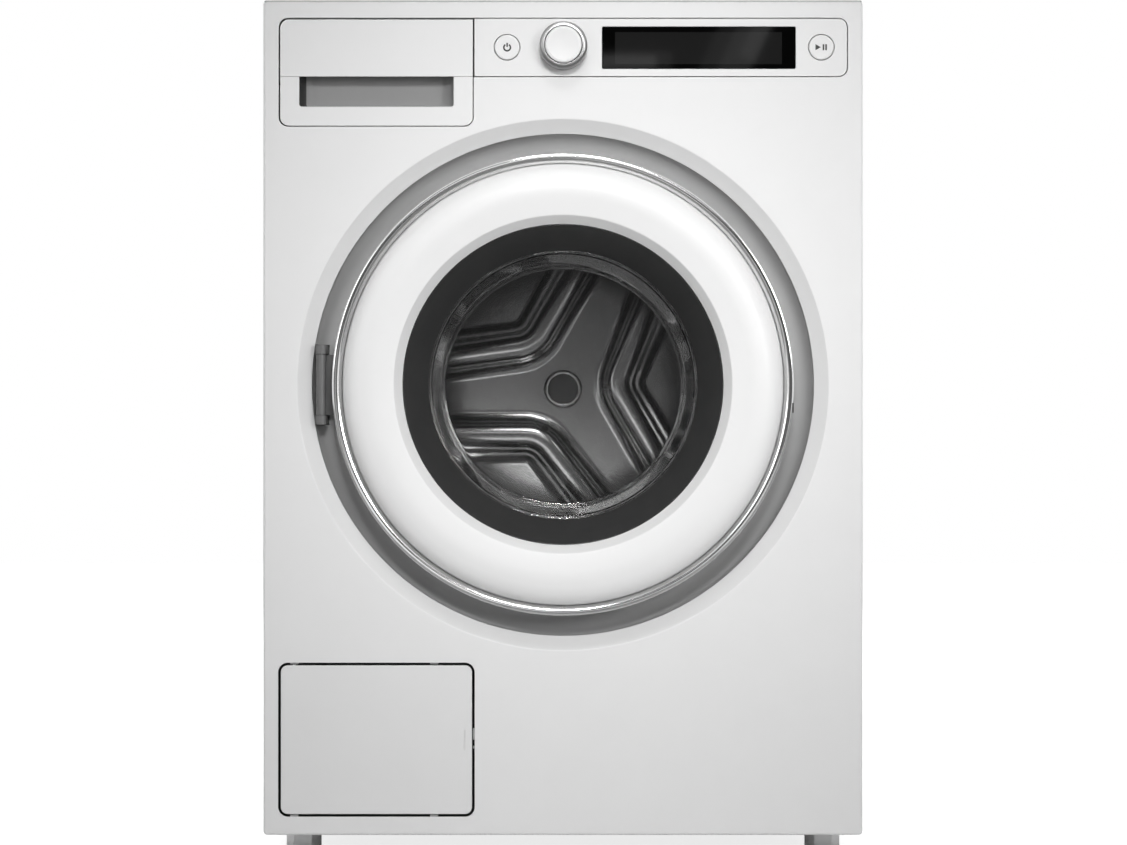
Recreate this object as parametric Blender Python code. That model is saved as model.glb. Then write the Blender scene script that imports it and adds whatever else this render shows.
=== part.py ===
"""Front-loading washing machine, built as an assembly of separate solids in metres.

The front faces -Y, +X is to the right as seen from the front, and +Z is up. The origin is on the
floor, at the middle of the outer box. Depths are measured back from the front panel's face, and
radii from the drum axis, which is also the middle of the door.
"""

from math import asin, cos, pi, radians, sin, sqrt, tau

import bmesh
import bpy
from mathutils import Matrix, Vector

# Outer sizes of the machine
cabinet_width = 0.595
cabinet_height = 0.850
cabinet_depth = 0.585
door_proud = 0.034
rear_proud = 0.012
underside = 0.0215
sheet = 0.0015
corner_radius = 0.004
flange_depth = 0.014
half_width = cabinet_width / 2

# Clearances: a resting gap, a running gap, a visible seam, and the overrun of every cut
rest_gap = 0.0003
run_gap = 0.0005
seam = 0.0008
overrun = 0.010
weld = 1e-6

# Control strip and detergent drawer, as seen on the front
strip_drop = 0.0176
strip_top = cabinet_height - strip_drop
strip_height = 0.0587
strip_bottom = strip_top - strip_height
drawer_height = 0.1078
drawer_bottom = strip_top - drawer_height
drawer_side = 0.0154
drawer_left = drawer_side - half_width
drawer_width = 0.1934
drawer_right = drawer_left + drawer_width
strip_side = 0.0149
strip_right = half_width - strip_side
strip_radius = 0.0095
button_drop = 0.0292
button_height = strip_top - button_drop
button_radius = 0.0124
power_inset = 0.0333
power_button_x = drawer_right + power_inset
start_inset = 0.0263
start_button_x = strip_right - start_inset
button_travel = 0.002
knob_inset = 0.0891
knob_x = drawer_right + knob_inset
knob_drop = 0.0285
knob_height = strip_top - knob_drop
knob_radius = 0.0237
knob_cap_radius = 0.0181
display_inset = 0.0381
display_left = knob_x + display_inset
display_room = 0.0253
display_right = start_button_x - display_room
display_drop = 0.0085
display_top = strip_top - display_drop
display_height = 0.0422
display_bottom = display_top - display_height
pocket_inset_left = 0.0205
pocket_left = drawer_left + pocket_inset_left
pocket_inset_right = 0.0199
pocket_right = drawer_right - pocket_inset_right
pocket_height = 0.0293
pocket_bottom = strip_bottom - pocket_height
pocket_depth = 0.0220
drawer_front_depth = 0.0245
tray_wall = 0.002
tray_inset_left = 0.0091
tray_inset_right = 0.0093
tray_rise = 0.0102
tray_low = drawer_bottom + tray_rise
tray_drop = 0.0324
tray_high = strip_top - tray_drop
tray_back = 0.2450

# Door and the round opening around it
drum_height = 0.4685
dish_radius = 0.2637
dish_land = 0.0139
dish_inner_radius = dish_radius - dish_land
dish_depth = 0.009
cove_land = 0.0188
cove_floor_radius = dish_inner_radius - cove_land
cove_floor_depth = 0.0260
surround_wall = 0.003
door_room = 0.0213
door_radius = dish_inner_radius - door_room
trim_land = 0.0101
trim_inner_radius = door_radius - trim_land
frame_land = 0.0525
frame_inner_radius = trim_inner_radius - frame_land
chamfer_land = 0.0077
chamfer_radius = frame_inner_radius - chamfer_land
cone_land = 0.0247
cone_end_radius = chamfer_radius - cone_land
cone_end_depth = 0.0118
glass_wall = 0.005
glass_taper = 0.0155
glass_bottom_radius = cone_end_radius - glass_taper
glass_bottom_depth = 0.105
hinge_out = 0.009
hinge_x = -cove_floor_radius - hinge_out
hinge_depth = 0.001
hinge_half_height = 0.0300
lock_in = 0.0325
lock_x = door_radius - lock_in
lock_drop = 0.0225
lock_height = drum_height - lock_drop

# Service flap low on the front
flap_side = 0.0149
flap_left = flap_side - half_width
flap_width = 0.1949
flap_right = flap_left + flap_width
flap_rise = 0.0184
flap_bottom = underside + flap_rise
flap_height = 0.1527
flap_top = flap_bottom + flap_height
flap_gap = 0.0022
flap_thickness = 0.0025
recess_depth = 0.0500
flap_pivot_in = 0.0156
flap_pivot_x = flap_left + flap_pivot_in
flap_pivot_depth = 0.006
filter_inset = 0.0976
filter_x = flap_left + filter_inset
filter_rise = 0.0651
filter_height = flap_bottom + filter_rise
filter_bore = 0.0295

# Drum, tub and drive
drum_radius = 0.2320
drum_front_depth = 0.0745
drum_wall = 0.0015
rib_height = 0.007
tub_room = 0.017
tub_radius = drum_radius + tub_room
tub_wall = 0.003
tub_front_depth = 0.0640
tub_split_depth = 0.1600
tub_rear_room = 0.140
tub_back_depth = cabinet_depth - tub_rear_room
drum_rear_room = 0.045
drum_back_depth = tub_back_depth - drum_rear_room
neck_room = 0.0295
tub_neck_radius = cone_end_radius + neck_room
mouth_room = 0.002
drum_mouth_radius = tub_neck_radius + mouth_room
porthole_room = 0.013
porthole_radius = tub_neck_radius + porthole_room
tub_neck_depth = 0.0500
shaft_radius = 0.0175
bearing_radius = 0.0315
boss_radius = 0.0480
boss_length = 0.055
boss_end_depth = tub_back_depth + boss_length
pulley_radius = 0.1400
pulley_room = 0.012
pulley_depth = boss_end_depth + pulley_room
pulley_width = 0.0180
motor_drop = 0.0845
motor_height = drum_height - tub_radius - motor_drop
motor_radius = 0.0580
motor_pulley_radius = 0.0120
belt_thickness = 0.003
damper_in = 0.049
damper_x = tub_radius - damper_in
damper_depth = 0.3000
damper_lug_top = 0.3485
spring_out = 0.013
spring_x = tub_radius + spring_out
spring_depth = 0.3450
hose_inset = 0.1321
hose_x = drawer_left + hose_inset
hose_depth = 0.2200
sump_depth = 0.1900

damper_bore = 0.0125
damper_top = 0.2696
rod_radius = 0.006
spring_rise = 0.1315
spring_low = drum_height + spring_rise
shelf_width = 0.0340
shelf_drop = 0.0438
shelf_height = cabinet_height - shelf_drop
hose_radius = 0.0160
hose_drop = 0.0026
hose_top = drawer_bottom - hose_drop
dispenser_rise = 0.2215
dispenser_low = drum_height + dispenser_rise
sump_radius = 0.0160
sump_low = 0.1800
sump_high = 0.2350

# Hinge pin, hook slot, water inlet and cord gland
pin_radius = 0.0022
slot_left = 0.0120
slot_right = 0.0170
slot_rise = 0.0090
valve_side = 0.0975
valve_x = valve_side - half_width
valve_drop = 0.068
valve_height = cabinet_height - valve_drop
valve_thread = 0.0130
gland_side = 0.0975
gland_x = half_width - gland_side
gland_drop = 0.100
gland_height = cabinet_height - gland_drop
gland_radius = 0.0090
fill_inset = 0.0971
fill_x = drawer_left + fill_inset
fill_drop = 0.050
fill_height = cabinet_height - fill_drop
hose_sag = 0.0120

# Levelling feet
foot_side = 0.0351
foot_x = half_width - foot_side
foot_front_depth = 0.0660
foot_rear_inset = 0.045
foot_rear_depth = cabinet_depth - foot_rear_inset
foot_radius = 0.0180
stud_radius = 0.005

# Pressed front sheet
front_soft = 0.0025

# Wrapper, rear cover, lid and floor pan
opening_side = 0.1025
opening_half = half_width - opening_side
opening_low = 0.105
opening_drop = 0.150
opening_high = cabinet_height - opening_drop
opening_radius = 0.040
shell_lap = 0.012
emboss_room = 0.045
emboss_radius = opening_half - emboss_room
emboss_depth = 0.005
lid_inset = 0.0008
core_inset = 0.0035
pan_rim = 0.0150
boss_height = 0.028
boss_wall = 0.004

# Feet
chamfer = 0.002
stud_rise = 0.032

# Fascia, buttons, knob and circuit board
face = 0.003
strip_rim_depth = 0.0150
strip_rim_wall = 0.002
glass = 0.0019
glass_radius = 0.0015
stem_radius = 0.003
stem_depth = 0.0055
board_inset = 0.0030
board_thickness = 0.0016
encoder_radius = 0.0080
encoder_depth = 0.0060
collar = 0.002
collar_depth = 0.0055
button_proud = 0.0012
switch_radius = 0.003
ring_proud = 0.0175
cap_proud = 0.0205
skirt_depth = 0.0040
button_edge = 0.0006
knob_edge = 0.0015

# Drawer and its housing
plate = 0.0035
finger_room = 0.0260
pocket_radius = 0.0025
side_gap = 0.0015
box_drop = 0.0034
box_high = strip_top - box_drop
box_back = 0.2620
spigot = 0.0160
neck_radius = 0.0080
neck_wall = 0.002
neck_length = 0.0230
housing_neck_end = box_back + neck_length
drawer_lug_rise = 0.0063
drawer_lug_height = strip_bottom + drawer_lug_rise
lug_depth = 0.1000
lug_width = 0.0300

# Tray wells
main_width = 0.0850
prewash_length = 0.1000
prewash_rise = 0.0200

# Cove, hinge bracket and lock
surround_shell = 0.0025
flange_out = 0.0102
flange_radius = dish_inner_radius + flange_out
window_half = 0.0065
window_rise = 0.0480
plate_half_height = 0.0560
plate_left = 0.0220
plate_right = 0.0250
surround_plate_thickness = 0.0025
surround_lug_half = 0.0055
surround_lug_height = 0.0090
surround_lug_front = -0.0045
lock_back = 0.0560
lock_half = 0.0300
lock_wall = 0.0050

# Door rings, glass and hook
trim_back = 0.0140
trim_shoulder = 0.0110
trim_edge = 0.0150
trim_crown = 0.0165
trim_fall = 0.0155
trim_lip = 0.0130
edge_in = 0.0015
fall_in = 0.0085
frame_gap = 0.0004
frame_wall = 0.0030
chamfer_wall = 0.0021
step = 0.0135
door_shoulder = 0.0220
door_turn = 0.0290
brow = 0.0325
shoulder_in = 0.0015
turn_in = 0.0070
brow_in = 0.0150
trim_crown_in = 0.0050
frame_crown_in = 0.0280
chamfer_fall = 0.0040
chamfer_back = 0.0200
inside_fall = 0.0075
cone_top = -0.0195
cone_gap = 0.0006
cone_lip = 0.0016
cone_wall = 0.0023
cone_flange = 0.0185
rim_thickness = 0.0041
rim_out = 0.0165
rim_radius = cone_end_radius + rim_out
rim_step = 0.002
door_plate_thickness = 0.004
edge_room = 0.003
outer_edge = door_radius - edge_room
step_out = 0.0225
step_radius = cone_end_radius + step_out
edge_out = 0.003
inner_edge = cone_end_radius + edge_out
arm_half = 0.0030
arm_thickness = 0.003
arm_lap = 0.0080
knuckle = 0.0050
hook_end = 0.0500
hook_half = 0.003
hook_rise = 0.005
door_tip = 0.006

# Flap, recess, pump and filter plug
flap_lap = 0.0004
flap_lug_half = 0.0040
flap_lug_front = 0.0032
lug_back = 0.0105
snap_in = 0.0403
snap_x = flap_right - snap_in
snap_rise = 0.0801
snap_z = flap_bottom + snap_rise
pin = 0.0015
flap_soft = 0.0006
rim_inset = 0.0012
flap_rim_wall = 0.0015
flap_rim_depth = 0.0090
slot_in = 0.0100
slot_x = flap_right - slot_in
slot_half = 0.0006
flap_slot_rise = 0.0661
slot_low = flap_bottom + flap_slot_rise
slot_height = 0.0200
slot_high = slot_low + slot_height
slot_cut = 0.0008
body_step = 0.1650
body_end = 0.2100
body_wall = 0.0045
flap_motor = 0.0240
bore_end = 0.1250
foot_half = 0.0120
foot_front = 0.1000
foot_back = 0.1250
disc = 0.0325
disc_depth = 0.0380
basket_end = 0.1150
bar_reach = 0.0270
bar_half = 0.005
bar_front = 0.0260

# Drum, spider, lifters and pulley
hub_hole = 0.0150
drum_shoulder = 0.0080
drum_lip = 0.0030
drum_apex = 0.0620
arm_room = 0.087
drum_arm = drum_radius - arm_room
rib_half_low = 0.0300
rib_half_high = 0.0180
cap_radius = 0.0214
cap_depth = 0.0080
hub_radius = 0.0340
hub_depth = 0.0240
drum_shaft_over = 0.028
drum_shaft_end = pulley_depth + drum_shaft_over
spoke_half = 0.0150
spoke_depth = 0.0150
spoke_room = 0.012
spoke_reach = drum_radius - spoke_room
base_half = 0.0250
crest_half = 0.0080
lifter_height = 0.0520
lifter_front = 0.1000
lifter_room = 0.016
lifter_back = drum_back_depth - lifter_room
drum_slope = 0.0180
hub = 0.0300
drum_rim = 0.008
web = 0.002
window_radius = 0.0300

# Tub, bearing, heater, ballast, dampers and motor
flange = 0.0065
flange_width = 0.0080
tub_lug_half = 0.0120
lug_inner = 0.0600
lug_outer = 0.0140
shaft_hole = 0.0200
bearing_width = 0.0360
heater_half = 0.0300
heater_radius = 0.0035
heater_front = 0.2000
heater_out = 0.0065
heater_drop = drum_radius + heater_out
ballast_front = 0.2900
ballast_room = 0.015
ballast_back = tub_back_depth - ballast_room
ballast_thickness = 0.0520
piston_low = 0.0800
piston_length = 0.0200
eye = 0.0096
motor_lead = 0.095
motor_front = tub_back_depth - motor_lead
motor_over = 0.050
motor_back = tub_back_depth + motor_over
motor_bore_over = 0.025
motor_bore_end = tub_back_depth + motor_bore_over
motor_shaft = 0.0080
motor_shaft_over = 0.021
tub_shaft_end = pulley_depth + motor_shaft_over
saddle_half = 0.0300
saddle_lead = 0.080
saddle_front = tub_back_depth - saddle_lead
saddle_room = 0.010
saddle_back = tub_back_depth - saddle_room
tub_wall_size = 0.0040
bore_floor = 0.0450
mouth = 0.1500

# Belt
belt_inset = 0.0010

# Springs and seal
wire = 0.0018
coil = 0.0095
soft_rim_depth = 0.0300
groove_in = 0.0050
groove_depth = 0.0365
bulge_depth = 0.0430
cuff_wall = 0.0035
cuff_depth = 0.0600
gutter_in = 0.006
gutter_radius = tub_neck_radius - gutter_in
lip_in = 0.025
lip_radius = tub_neck_radius - lip_in
lip_rise = 0.0015
lip_wall = 0.0025
throat_in = 0.005
throat_radius = tub_neck_radius - throat_in
throat_depth = 0.0440
mouth_out = 0.001
mouth_radius = tub_neck_radius + mouth_out
mouth_depth = 0.0330

# Inlet valve, fill hose and gland
body_half = 0.0240
body_length = 0.0560
body_half_height = 0.0180
outlet_radius = 0.0080
outlet_length = 0.0200
head = 0.0130
head_length = 0.0070
nose = 0.0060
inner_length = 0.0150

# Sides of every large turned piece, and parts of each rounded corner
round_steps = 40
corner_steps = 4

front_y = door_proud - (cabinet_depth + door_proud + rear_proud) / 2
rear_y = front_y + cabinet_depth
body_top = cabinet_height - 2 * rest_gap - sheet
inner_half = half_width - sheet
pan_top = underside + 2 * sheet

LOOKS = {
    "white_enamel": ((0.86, 0.86, 0.86), 0.35, 0.0),
    "white_laminate": ((0.86, 0.86, 0.86), 0.4, 0.0),
    "white_plastic": ((0.84, 0.84, 0.84), 0.4, 0.0),
    "grey_plastic": ((0.30, 0.30, 0.31), 0.5, 0.0),
    "dark_plastic": ((0.05, 0.05, 0.055), 0.45, 0.0),
    "black_gloss": ((0.01, 0.01, 0.01), 0.08, 0.0),
    "chrome": ((0.80, 0.80, 0.81), 0.12, 1.0),
    "steel": ((0.62, 0.62, 0.63), 0.3, 1.0),
    "zinc": ((0.50, 0.51, 0.52), 0.45, 1.0),
    "aluminium": ((0.66, 0.67, 0.68), 0.4, 1.0),
    "glass": ((0.75, 0.78, 0.78), 0.03, 0.0),
    "rubber": ((0.22, 0.22, 0.22), 0.7, 0.0),
    "concrete": ((0.42, 0.42, 0.41), 0.9, 0.0),
    "circuit_board": ((0.06, 0.20, 0.10), 0.6, 0.0),
}


def clear_scene():
    for obj in list(bpy.data.objects):
        bpy.data.objects.remove(obj)


def material(look):
    """The Principled material of this look, made once."""
    found = bpy.data.materials.get(look)
    if found:
        return found
    colour, roughness, metallic = LOOKS[look]
    made = bpy.data.materials.new(look)
    made.use_nodes = True
    shader = made.node_tree.nodes["Principled BSDF"]
    shader.inputs["Base Color"].default_value = (*colour, 1)
    shader.inputs["Roughness"].default_value = roughness
    shader.inputs["Metallic"].default_value = metallic
    return made


def back(depth):
    """World Y of a depth behind the front panel's face."""
    return front_y + depth


def pivot(name, x, depth, z):
    """An empty on a joint's axis, for the moving pieces to hang on."""
    empty = bpy.data.objects.new(name, None)
    empty.location = (x, back(depth), z)
    bpy.context.scene.collection.objects.link(empty)
    return empty


def link(name, bm, look):
    mesh = bpy.data.meshes.new(name)
    bm.to_mesh(mesh)
    bm.free()
    mesh.shade_smooth()
    mesh.set_sharp_from_angle(angle=radians(30))
    obj = bpy.data.objects.new(name, mesh)
    mesh.materials.append(material(look))
    bpy.context.scene.collection.objects.link(obj)
    return obj


def piece(name, bm, look, carrier=None):
    """A named solid; one that moves hangs on the empty at its joint."""
    obj = link(name, bm, look)
    if carrier:
        obj.parent = carrier
        obj.matrix_parent_inverse = Matrix.Translation(-carrier.location)
    return obj


def combine(target, bm, operation):
    helper = link(f"{target.name}_{operation.lower()}_{len(target.modifiers)}", bm, "zinc")
    helper.hide_render = True
    helper.display_type = "WIRE"
    modifier = target.modifiers.new(helper.name, "BOOLEAN")
    modifier.operation = operation
    modifier.object = helper


def cut(target, *shapes):
    for bm in shapes:
        combine(target, bm, "DIFFERENCE")


def add(target, *shapes):
    for bm in shapes:
        combine(target, bm, "UNION")


def use_manifold_solver(target):
    """For the few thin walled pieces on which the exact solver leaves open edges."""
    for modifier in target.modifiers:
        modifier.solver = "MANIFOLD"


def loft(sections):
    """A closed solid through rings of points that all have the same count."""
    bm = bmesh.new()
    loops = [[bm.verts.new(point) for point in section] for section in sections]
    for near, far in zip(loops, loops[1:]):
        for i, vert in enumerate(near):
            j = (i + 1) % len(near)
            bm.faces.new((vert, near[j], far[j], far[i]))
    bm.faces.new(loops[0])
    bm.faces.new(loops[-1])
    bmesh.ops.recalc_face_normals(bm, faces=bm.faces)
    return bm


def block(x0, x1, depth0, depth1, z0, z1):
    """A plain block between two depths."""
    corners = [(x0, z0), (x1, z0), (x1, z1), (x0, z1)]
    return loft([[(x, back(d), z) for x, z in corners] for d in (depth0, depth1)])


def rounded(x0, x1, z0, z1, radii, inset=0.0):
    """Outline in X and Z, anticlockwise from the lower left corner. A radius of zero is square."""
    corners = [(x0, z0, 1, 1), (x1, z0, -1, 1), (x1, z1, -1, -1), (x0, z1, 1, -1)]
    points = []
    for quarter, ((x, z, side, rise), radius) in enumerate(zip(corners, radii)):
        middle = (x + side * max(radius, inset), z + rise * max(radius, inset))
        if not radius:
            points.append(middle)
            continue
        for k in range(corner_steps + 1):
            angle = pi + (quarter + k / corner_steps) * pi / 2
            reach = radius - inset
            points.append((middle[0] + reach * cos(angle), middle[1] + reach * sin(angle)))
    return points


def slab(x0, x1, z0, z1, depth0, depth1, radii, soft=0.0):
    """A plate with rounded corners whose front edge is softened by the given radius."""
    layers = [(depth0, 0.0)]
    if soft:
        turns = 3
        layers = [
            (depth0 + soft * (1 - cos(k / turns * pi / 2)), soft * (1 - sin(k / turns * pi / 2)))
            for k in range(turns + 1)
        ]
    layers.append((depth1, 0.0))
    return loft(
        [[(x, back(d), z) for x, z in rounded(x0, x1, z0, z1, radii, inset)] for d, inset in layers]
    )


def spun(profile, centre, axis, steps):
    """Turns a profile of (radius, place along the axis) once round, closed unless it ends on the axis."""
    bm = bmesh.new()
    direction = Vector(axis)
    start = Vector(centre)
    verts = [bm.verts.new(start + Vector((r, 0, 0)) + along * direction) for r, along in profile]
    edges = [bm.edges.new(pair) for pair in zip(verts, verts[1:])]
    if profile[0][0] or profile[-1][0]:
        edges.append(bm.edges.new((verts[-1], verts[0])))
    bmesh.ops.spin(
        bm, geom=verts + edges, cent=centre, axis=axis, angle=tau, steps=steps, use_merge=True
    )
    bmesh.ops.remove_doubles(bm, verts=bm.verts, dist=weld)
    bmesh.ops.recalc_face_normals(bm, faces=bm.faces)
    return bm


def turned(profile, x=0.0, z=drum_height, steps=round_steps):
    """A round piece about a line along Y, from (radius, depth) points."""
    return spun([(r, back(depth)) for r, depth in profile], (x, 0, z), (0, 1, 0), steps)


def upright(profile, x, depth, steps=20):
    """A round piece about a vertical line, from (radius, height) points."""
    return spun(profile, (x, back(depth), 0), (0, 0, 1), steps)


def rod(radius, depth0, depth1, x, z, steps=20):
    return turned([(0, depth0), (radius, depth0), (radius, depth1), (0, depth1)], x, z, steps)


def post(radius, z0, z1, x, depth, steps=12):
    return upright([(0, z0), (radius, z0), (radius, z1), (0, z1)], x, depth, steps)


def tube(name, points, radius, look, sides=2):
    """A bent tube with filled ends through the given points."""
    curve = bpy.data.curves.new(name, "CURVE")
    curve.dimensions = "3D"
    curve.bevel_depth = radius
    curve.bevel_resolution = sides
    curve.use_fill_caps = True
    spline = curve.splines.new("POLY")
    spline.points.add(len(points) - 1)
    for point, place in zip(spline.points, points):
        point.co = (*place, 1)
    curve.materials.append(material(look))
    obj = bpy.data.objects.new(name, curve)
    bpy.context.scene.collection.objects.link(obj)
    return obj


def cabinet_front():
    """The front panel: a pressed sheet with a dish round the door and openings for what sits in it."""
    low = underside
    panel = piece(
        "front_panel",
        slab(-half_width, half_width, low, body_top, 0, flange_depth, [corner_radius] * 4, front_soft),
        "white_enamel",
    )
    slope = (dish_radius - dish_inner_radius) / dish_depth
    dish_back = dish_depth + 4 * sheet / 3
    hollow = piece(
        "front_panel_hollow",
        block(
            -inner_half, inner_half, sheet, flange_depth + overrun, low + sheet, body_top - sheet
        ),
        "zinc",
    )
    hollow.hide_render = True
    hollow.display_type = "WIRE"
    cone = [
        (0, -overrun),
        (dish_radius + sheet + slope * overrun, -overrun),
        (dish_inner_radius + sheet, dish_back),
        (0, dish_back),
    ]
    cut(hollow, turned(cone))
    modifier = panel.modifiers.new("hollow", "BOOLEAN")
    modifier.object = hollow
    dish = [
        (0, -overrun),
        (dish_radius + slope * overrun, -overrun),
        (dish_inner_radius, dish_depth),
        (dish_inner_radius, dish_depth + overrun),
        (0, dish_depth + overrun),
    ]
    cut(panel, turned(dish))
    lower = rounded(
        drawer_left, drawer_right, drawer_bottom, strip_top, [strip_radius, strip_radius, 0, strip_radius]
    )
    upper = rounded(
        drawer_right, strip_right, strip_bottom, strip_top, [0, strip_radius, strip_radius, 0]
    )
    arc = corner_steps + 1
    outline = lower[: 2 * arc] + upper[: 2 * arc + 1] + lower[2 * arc + 1 :]
    cut(
        panel,
        loft([[(x, back(d), z) for x, z in outline] for d in (-overrun, overrun + flange_depth)]),
        slab(
            flap_left, flap_right, flap_bottom, flap_top, -overrun, overrun + flange_depth,
            [strip_radius] * 4,
        ),
    )
    use_manifold_solver(panel)


def cabinet_shell():
    """The wrapper of the two sides and the back, the floor pan, the lid and the rear cover."""
    start = flange_depth + rest_gap
    wrapper = piece(
        "cabinet_wrapper",
        block(-half_width, half_width, start, cabinet_depth, underside, body_top),
        "white_enamel",
    )
    cut(
        wrapper,
        block(
            -inner_half, inner_half, start - overrun, cabinet_depth - sheet,
            underside - overrun, body_top + overrun,
        ),
    )
    cut(
        wrapper,
        slab(
            -opening_half, opening_half, opening_low, opening_high,
            cabinet_depth - overrun, cabinet_depth + overrun, [opening_radius] * 4,
        ),
        rod(valve_thread + run_gap, cabinet_depth - overrun, cabinet_depth + overrun, valve_x, valve_height),
        rod(gland_radius + run_gap, cabinet_depth - overrun, cabinet_depth + overrun, gland_x, gland_height),
    )
    for side in (-1, 1):
        inner, outer = side * (spring_x - 0.5 * shelf_width), side * (inner_half + sheet / 2)
        add(
            wrapper,
            block(
                min(inner, outer), max(inner, outer), spring_depth - shelf_width / 2,
                spring_depth + shelf_width / 2, shelf_height, shelf_height + 2 * sheet,
            ),
        )
    cover = piece(
        "rear_cover",
        slab(
            -opening_half - shell_lap, opening_half + shell_lap,
            opening_low - shell_lap, opening_high + shell_lap,
            cabinet_depth + rest_gap, cabinet_depth + rest_gap + 2 * sheet, [opening_radius + shell_lap] * 4,
        ),
        "grey_plastic",
    )
    add(
        cover,
        turned(
            [
                (0, cabinet_depth + sheet),
                (emboss_radius, cabinet_depth + sheet),
                (emboss_radius - emboss_depth, cabinet_depth + 2 * sheet + emboss_depth),
                (0, cabinet_depth + 2 * sheet + emboss_depth),
            ],
            steps=32,
        ),
    )
    lid_low = body_top + rest_gap
    lid_core = lid_low - strip_top - seam
    lid_layers = [
        (lid_low - lid_core, core_inset, flange_depth + sheet),
        (lid_low, core_inset, flange_depth + sheet),
        (lid_low, lid_inset, lid_inset),
        (cabinet_height - lid_inset, lid_inset, lid_inset),
        (cabinet_height, 2 * lid_inset, 2 * lid_inset),
    ]
    sections = []
    for z, inset, front in lid_layers:
        right, near, far = half_width - inset, back(front), rear_y - inset
        sections.append([(-right, near, z), (right, near, z), (right, far, z), (-right, far, z)])
    piece("top_panel", loft(sections), "white_laminate")

    pan_half = inner_half - rest_gap
    pan_front, pan_rear = flange_depth + rest_gap, cabinet_depth - sheet - rest_gap
    pan = piece(
        "base_pan",
        block(-pan_half, pan_half, pan_front, pan_rear, underside, underside + pan_rim),
        "grey_plastic",
    )
    cut(
        pan,
        block(
            -pan_half + sheet, pan_half - sheet, pan_front + sheet, pan_rear - sheet,
            pan_top, pan_top + overrun + pan_rim,
        ),
    )
    for x, depth in foot_places():
        add(pan, post(stud_radius + boss_wall, underside + sheet, pan_top + boss_height, x, depth))
    for x, depth in foot_places():
        cut(
            pan,
            post(stud_radius + run_gap, underside - overrun, pan_top + boss_height + overrun, x, depth),
        )


def foot_places():
    return [(x, d) for d in (foot_front_depth, foot_rear_depth) for x in (-foot_x, foot_x)]


def feet():
    """Four hexagonal levelling feet on threaded studs, with a flat turned to the front."""
    names = ["foot_front_left", "foot_front_right", "foot_rear_left", "foot_rear_right"]
    top = underside - rest_gap
    for name, (x, depth) in zip(names, foot_places()):
        carrier = pivot(f"{name}_thread", x, depth, underside)
        rings = [
            (0, foot_radius - chamfer),
            (chamfer, foot_radius),
            (top - chamfer, foot_radius),
            (top, foot_radius - chamfer),
        ]
        sections = [
            [(x + r * cos(k * pi / 3), back(depth) + r * sin(k * pi / 3), z) for k in range(6)]
            for z, r in rings
        ]
        foot = piece(name, loft(sections), "grey_plastic", carrier)
        add(foot, post(stud_radius, chamfer, pan_top + stud_rise, x, depth))


def control_strip():
    """The fascia with its window, knob, two buttons and the circuit board behind it."""
    left, right = drawer_right + seam, strip_right - seam
    low, high = strip_bottom + seam, strip_top - seam
    panel = piece(
        "control_panel",
        slab(left, right, low, high, 0, strip_rim_depth, [0, strip_radius - seam, strip_radius - seam, 0]),
        "white_enamel",
    )
    cut(
        panel,
        slab(
            left + strip_rim_wall, right - strip_rim_wall, low + strip_rim_wall, high - strip_rim_wall,
            face, strip_rim_depth + overrun, [0, strip_radius - face, strip_radius - face, 0],
        ),
    )
    cut(
        panel,
        slab(
            display_left, display_right, display_bottom, display_top,
            -overrun, glass + rest_gap, [glass_radius + rest_gap] * 4,
        ),
    )
    for x, radius in ((power_button_x, button_radius), (start_button_x, button_radius)):
        cut(panel, rod(radius + rest_gap, -overrun, overrun, x, button_height, 24))
    cut(panel, rod(stem_radius + rest_gap, -overrun, overrun, knob_x, knob_height))
    piece(
        "display_window",
        slab(
            display_left + rest_gap, display_right - rest_gap, display_bottom + rest_gap,
            display_top - rest_gap, 0, glass, [glass_radius] * 4,
        ),
        "black_gloss",
    )

    board_depth = strip_rim_depth + rest_gap
    board = piece(
        "control_board",
        block(
            left + board_inset, right - board_inset, board_depth, board_depth + board_thickness,
            low + board_inset, high - board_inset,
        ),
        "circuit_board",
    )
    add(board, rod(encoder_radius, encoder_depth, board_depth + rest_gap, knob_x, knob_height))
    switch_depth = collar_depth + collar + button_travel + run_gap
    for x in (power_button_x, start_button_x):
        add(board, rod(switch_radius, switch_depth, board_depth + rest_gap, x, button_height, 12))

    for name, x in (("power_button", power_button_x), ("start_button", start_button_x)):
        carrier = pivot(f"{name}_travel", x, 0, button_height)
        profile = [
            (0, -button_proud),
            (button_radius - button_edge, -button_proud),
            (button_radius, button_edge - button_proud),
            (button_radius, collar_depth),
            (button_radius + collar, collar_depth),
            (button_radius + collar, collar_depth + collar),
            (0, collar_depth + collar),
        ]
        piece(name, turned(profile, x, button_height, 24), "white_plastic", carrier)

    knob = pivot("program_knob_axis", knob_x, 0, knob_height)
    ring = [
        (knob_cap_radius + rest_gap, rest_gap - ring_proud),
        (knob_cap_radius + knob_edge, -ring_proud),
        (knob_radius - 2 * knob_edge, -ring_proud),
        (knob_radius - knob_edge, knob_edge - ring_proud),
        (knob_radius, -knob_edge),
        (knob_radius - knob_edge / 2, -run_gap),
        (knob_cap_radius + rest_gap, -run_gap),
    ]
    piece("knob_ring", turned(ring, knob_x, knob_height, 28), "aluminium", knob)
    cap = [
        (0, -cap_proud),
        (knob_cap_radius - knob_edge, -cap_proud),
        (knob_cap_radius, knob_edge - cap_proud),
        (knob_cap_radius, -skirt_depth),
        (stem_radius, -skirt_depth),
        (stem_radius, stem_depth),
        (0, stem_depth),
    ]
    piece("knob_cap", turned(cap, knob_x, knob_height, 28), "white_plastic", knob)


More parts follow.
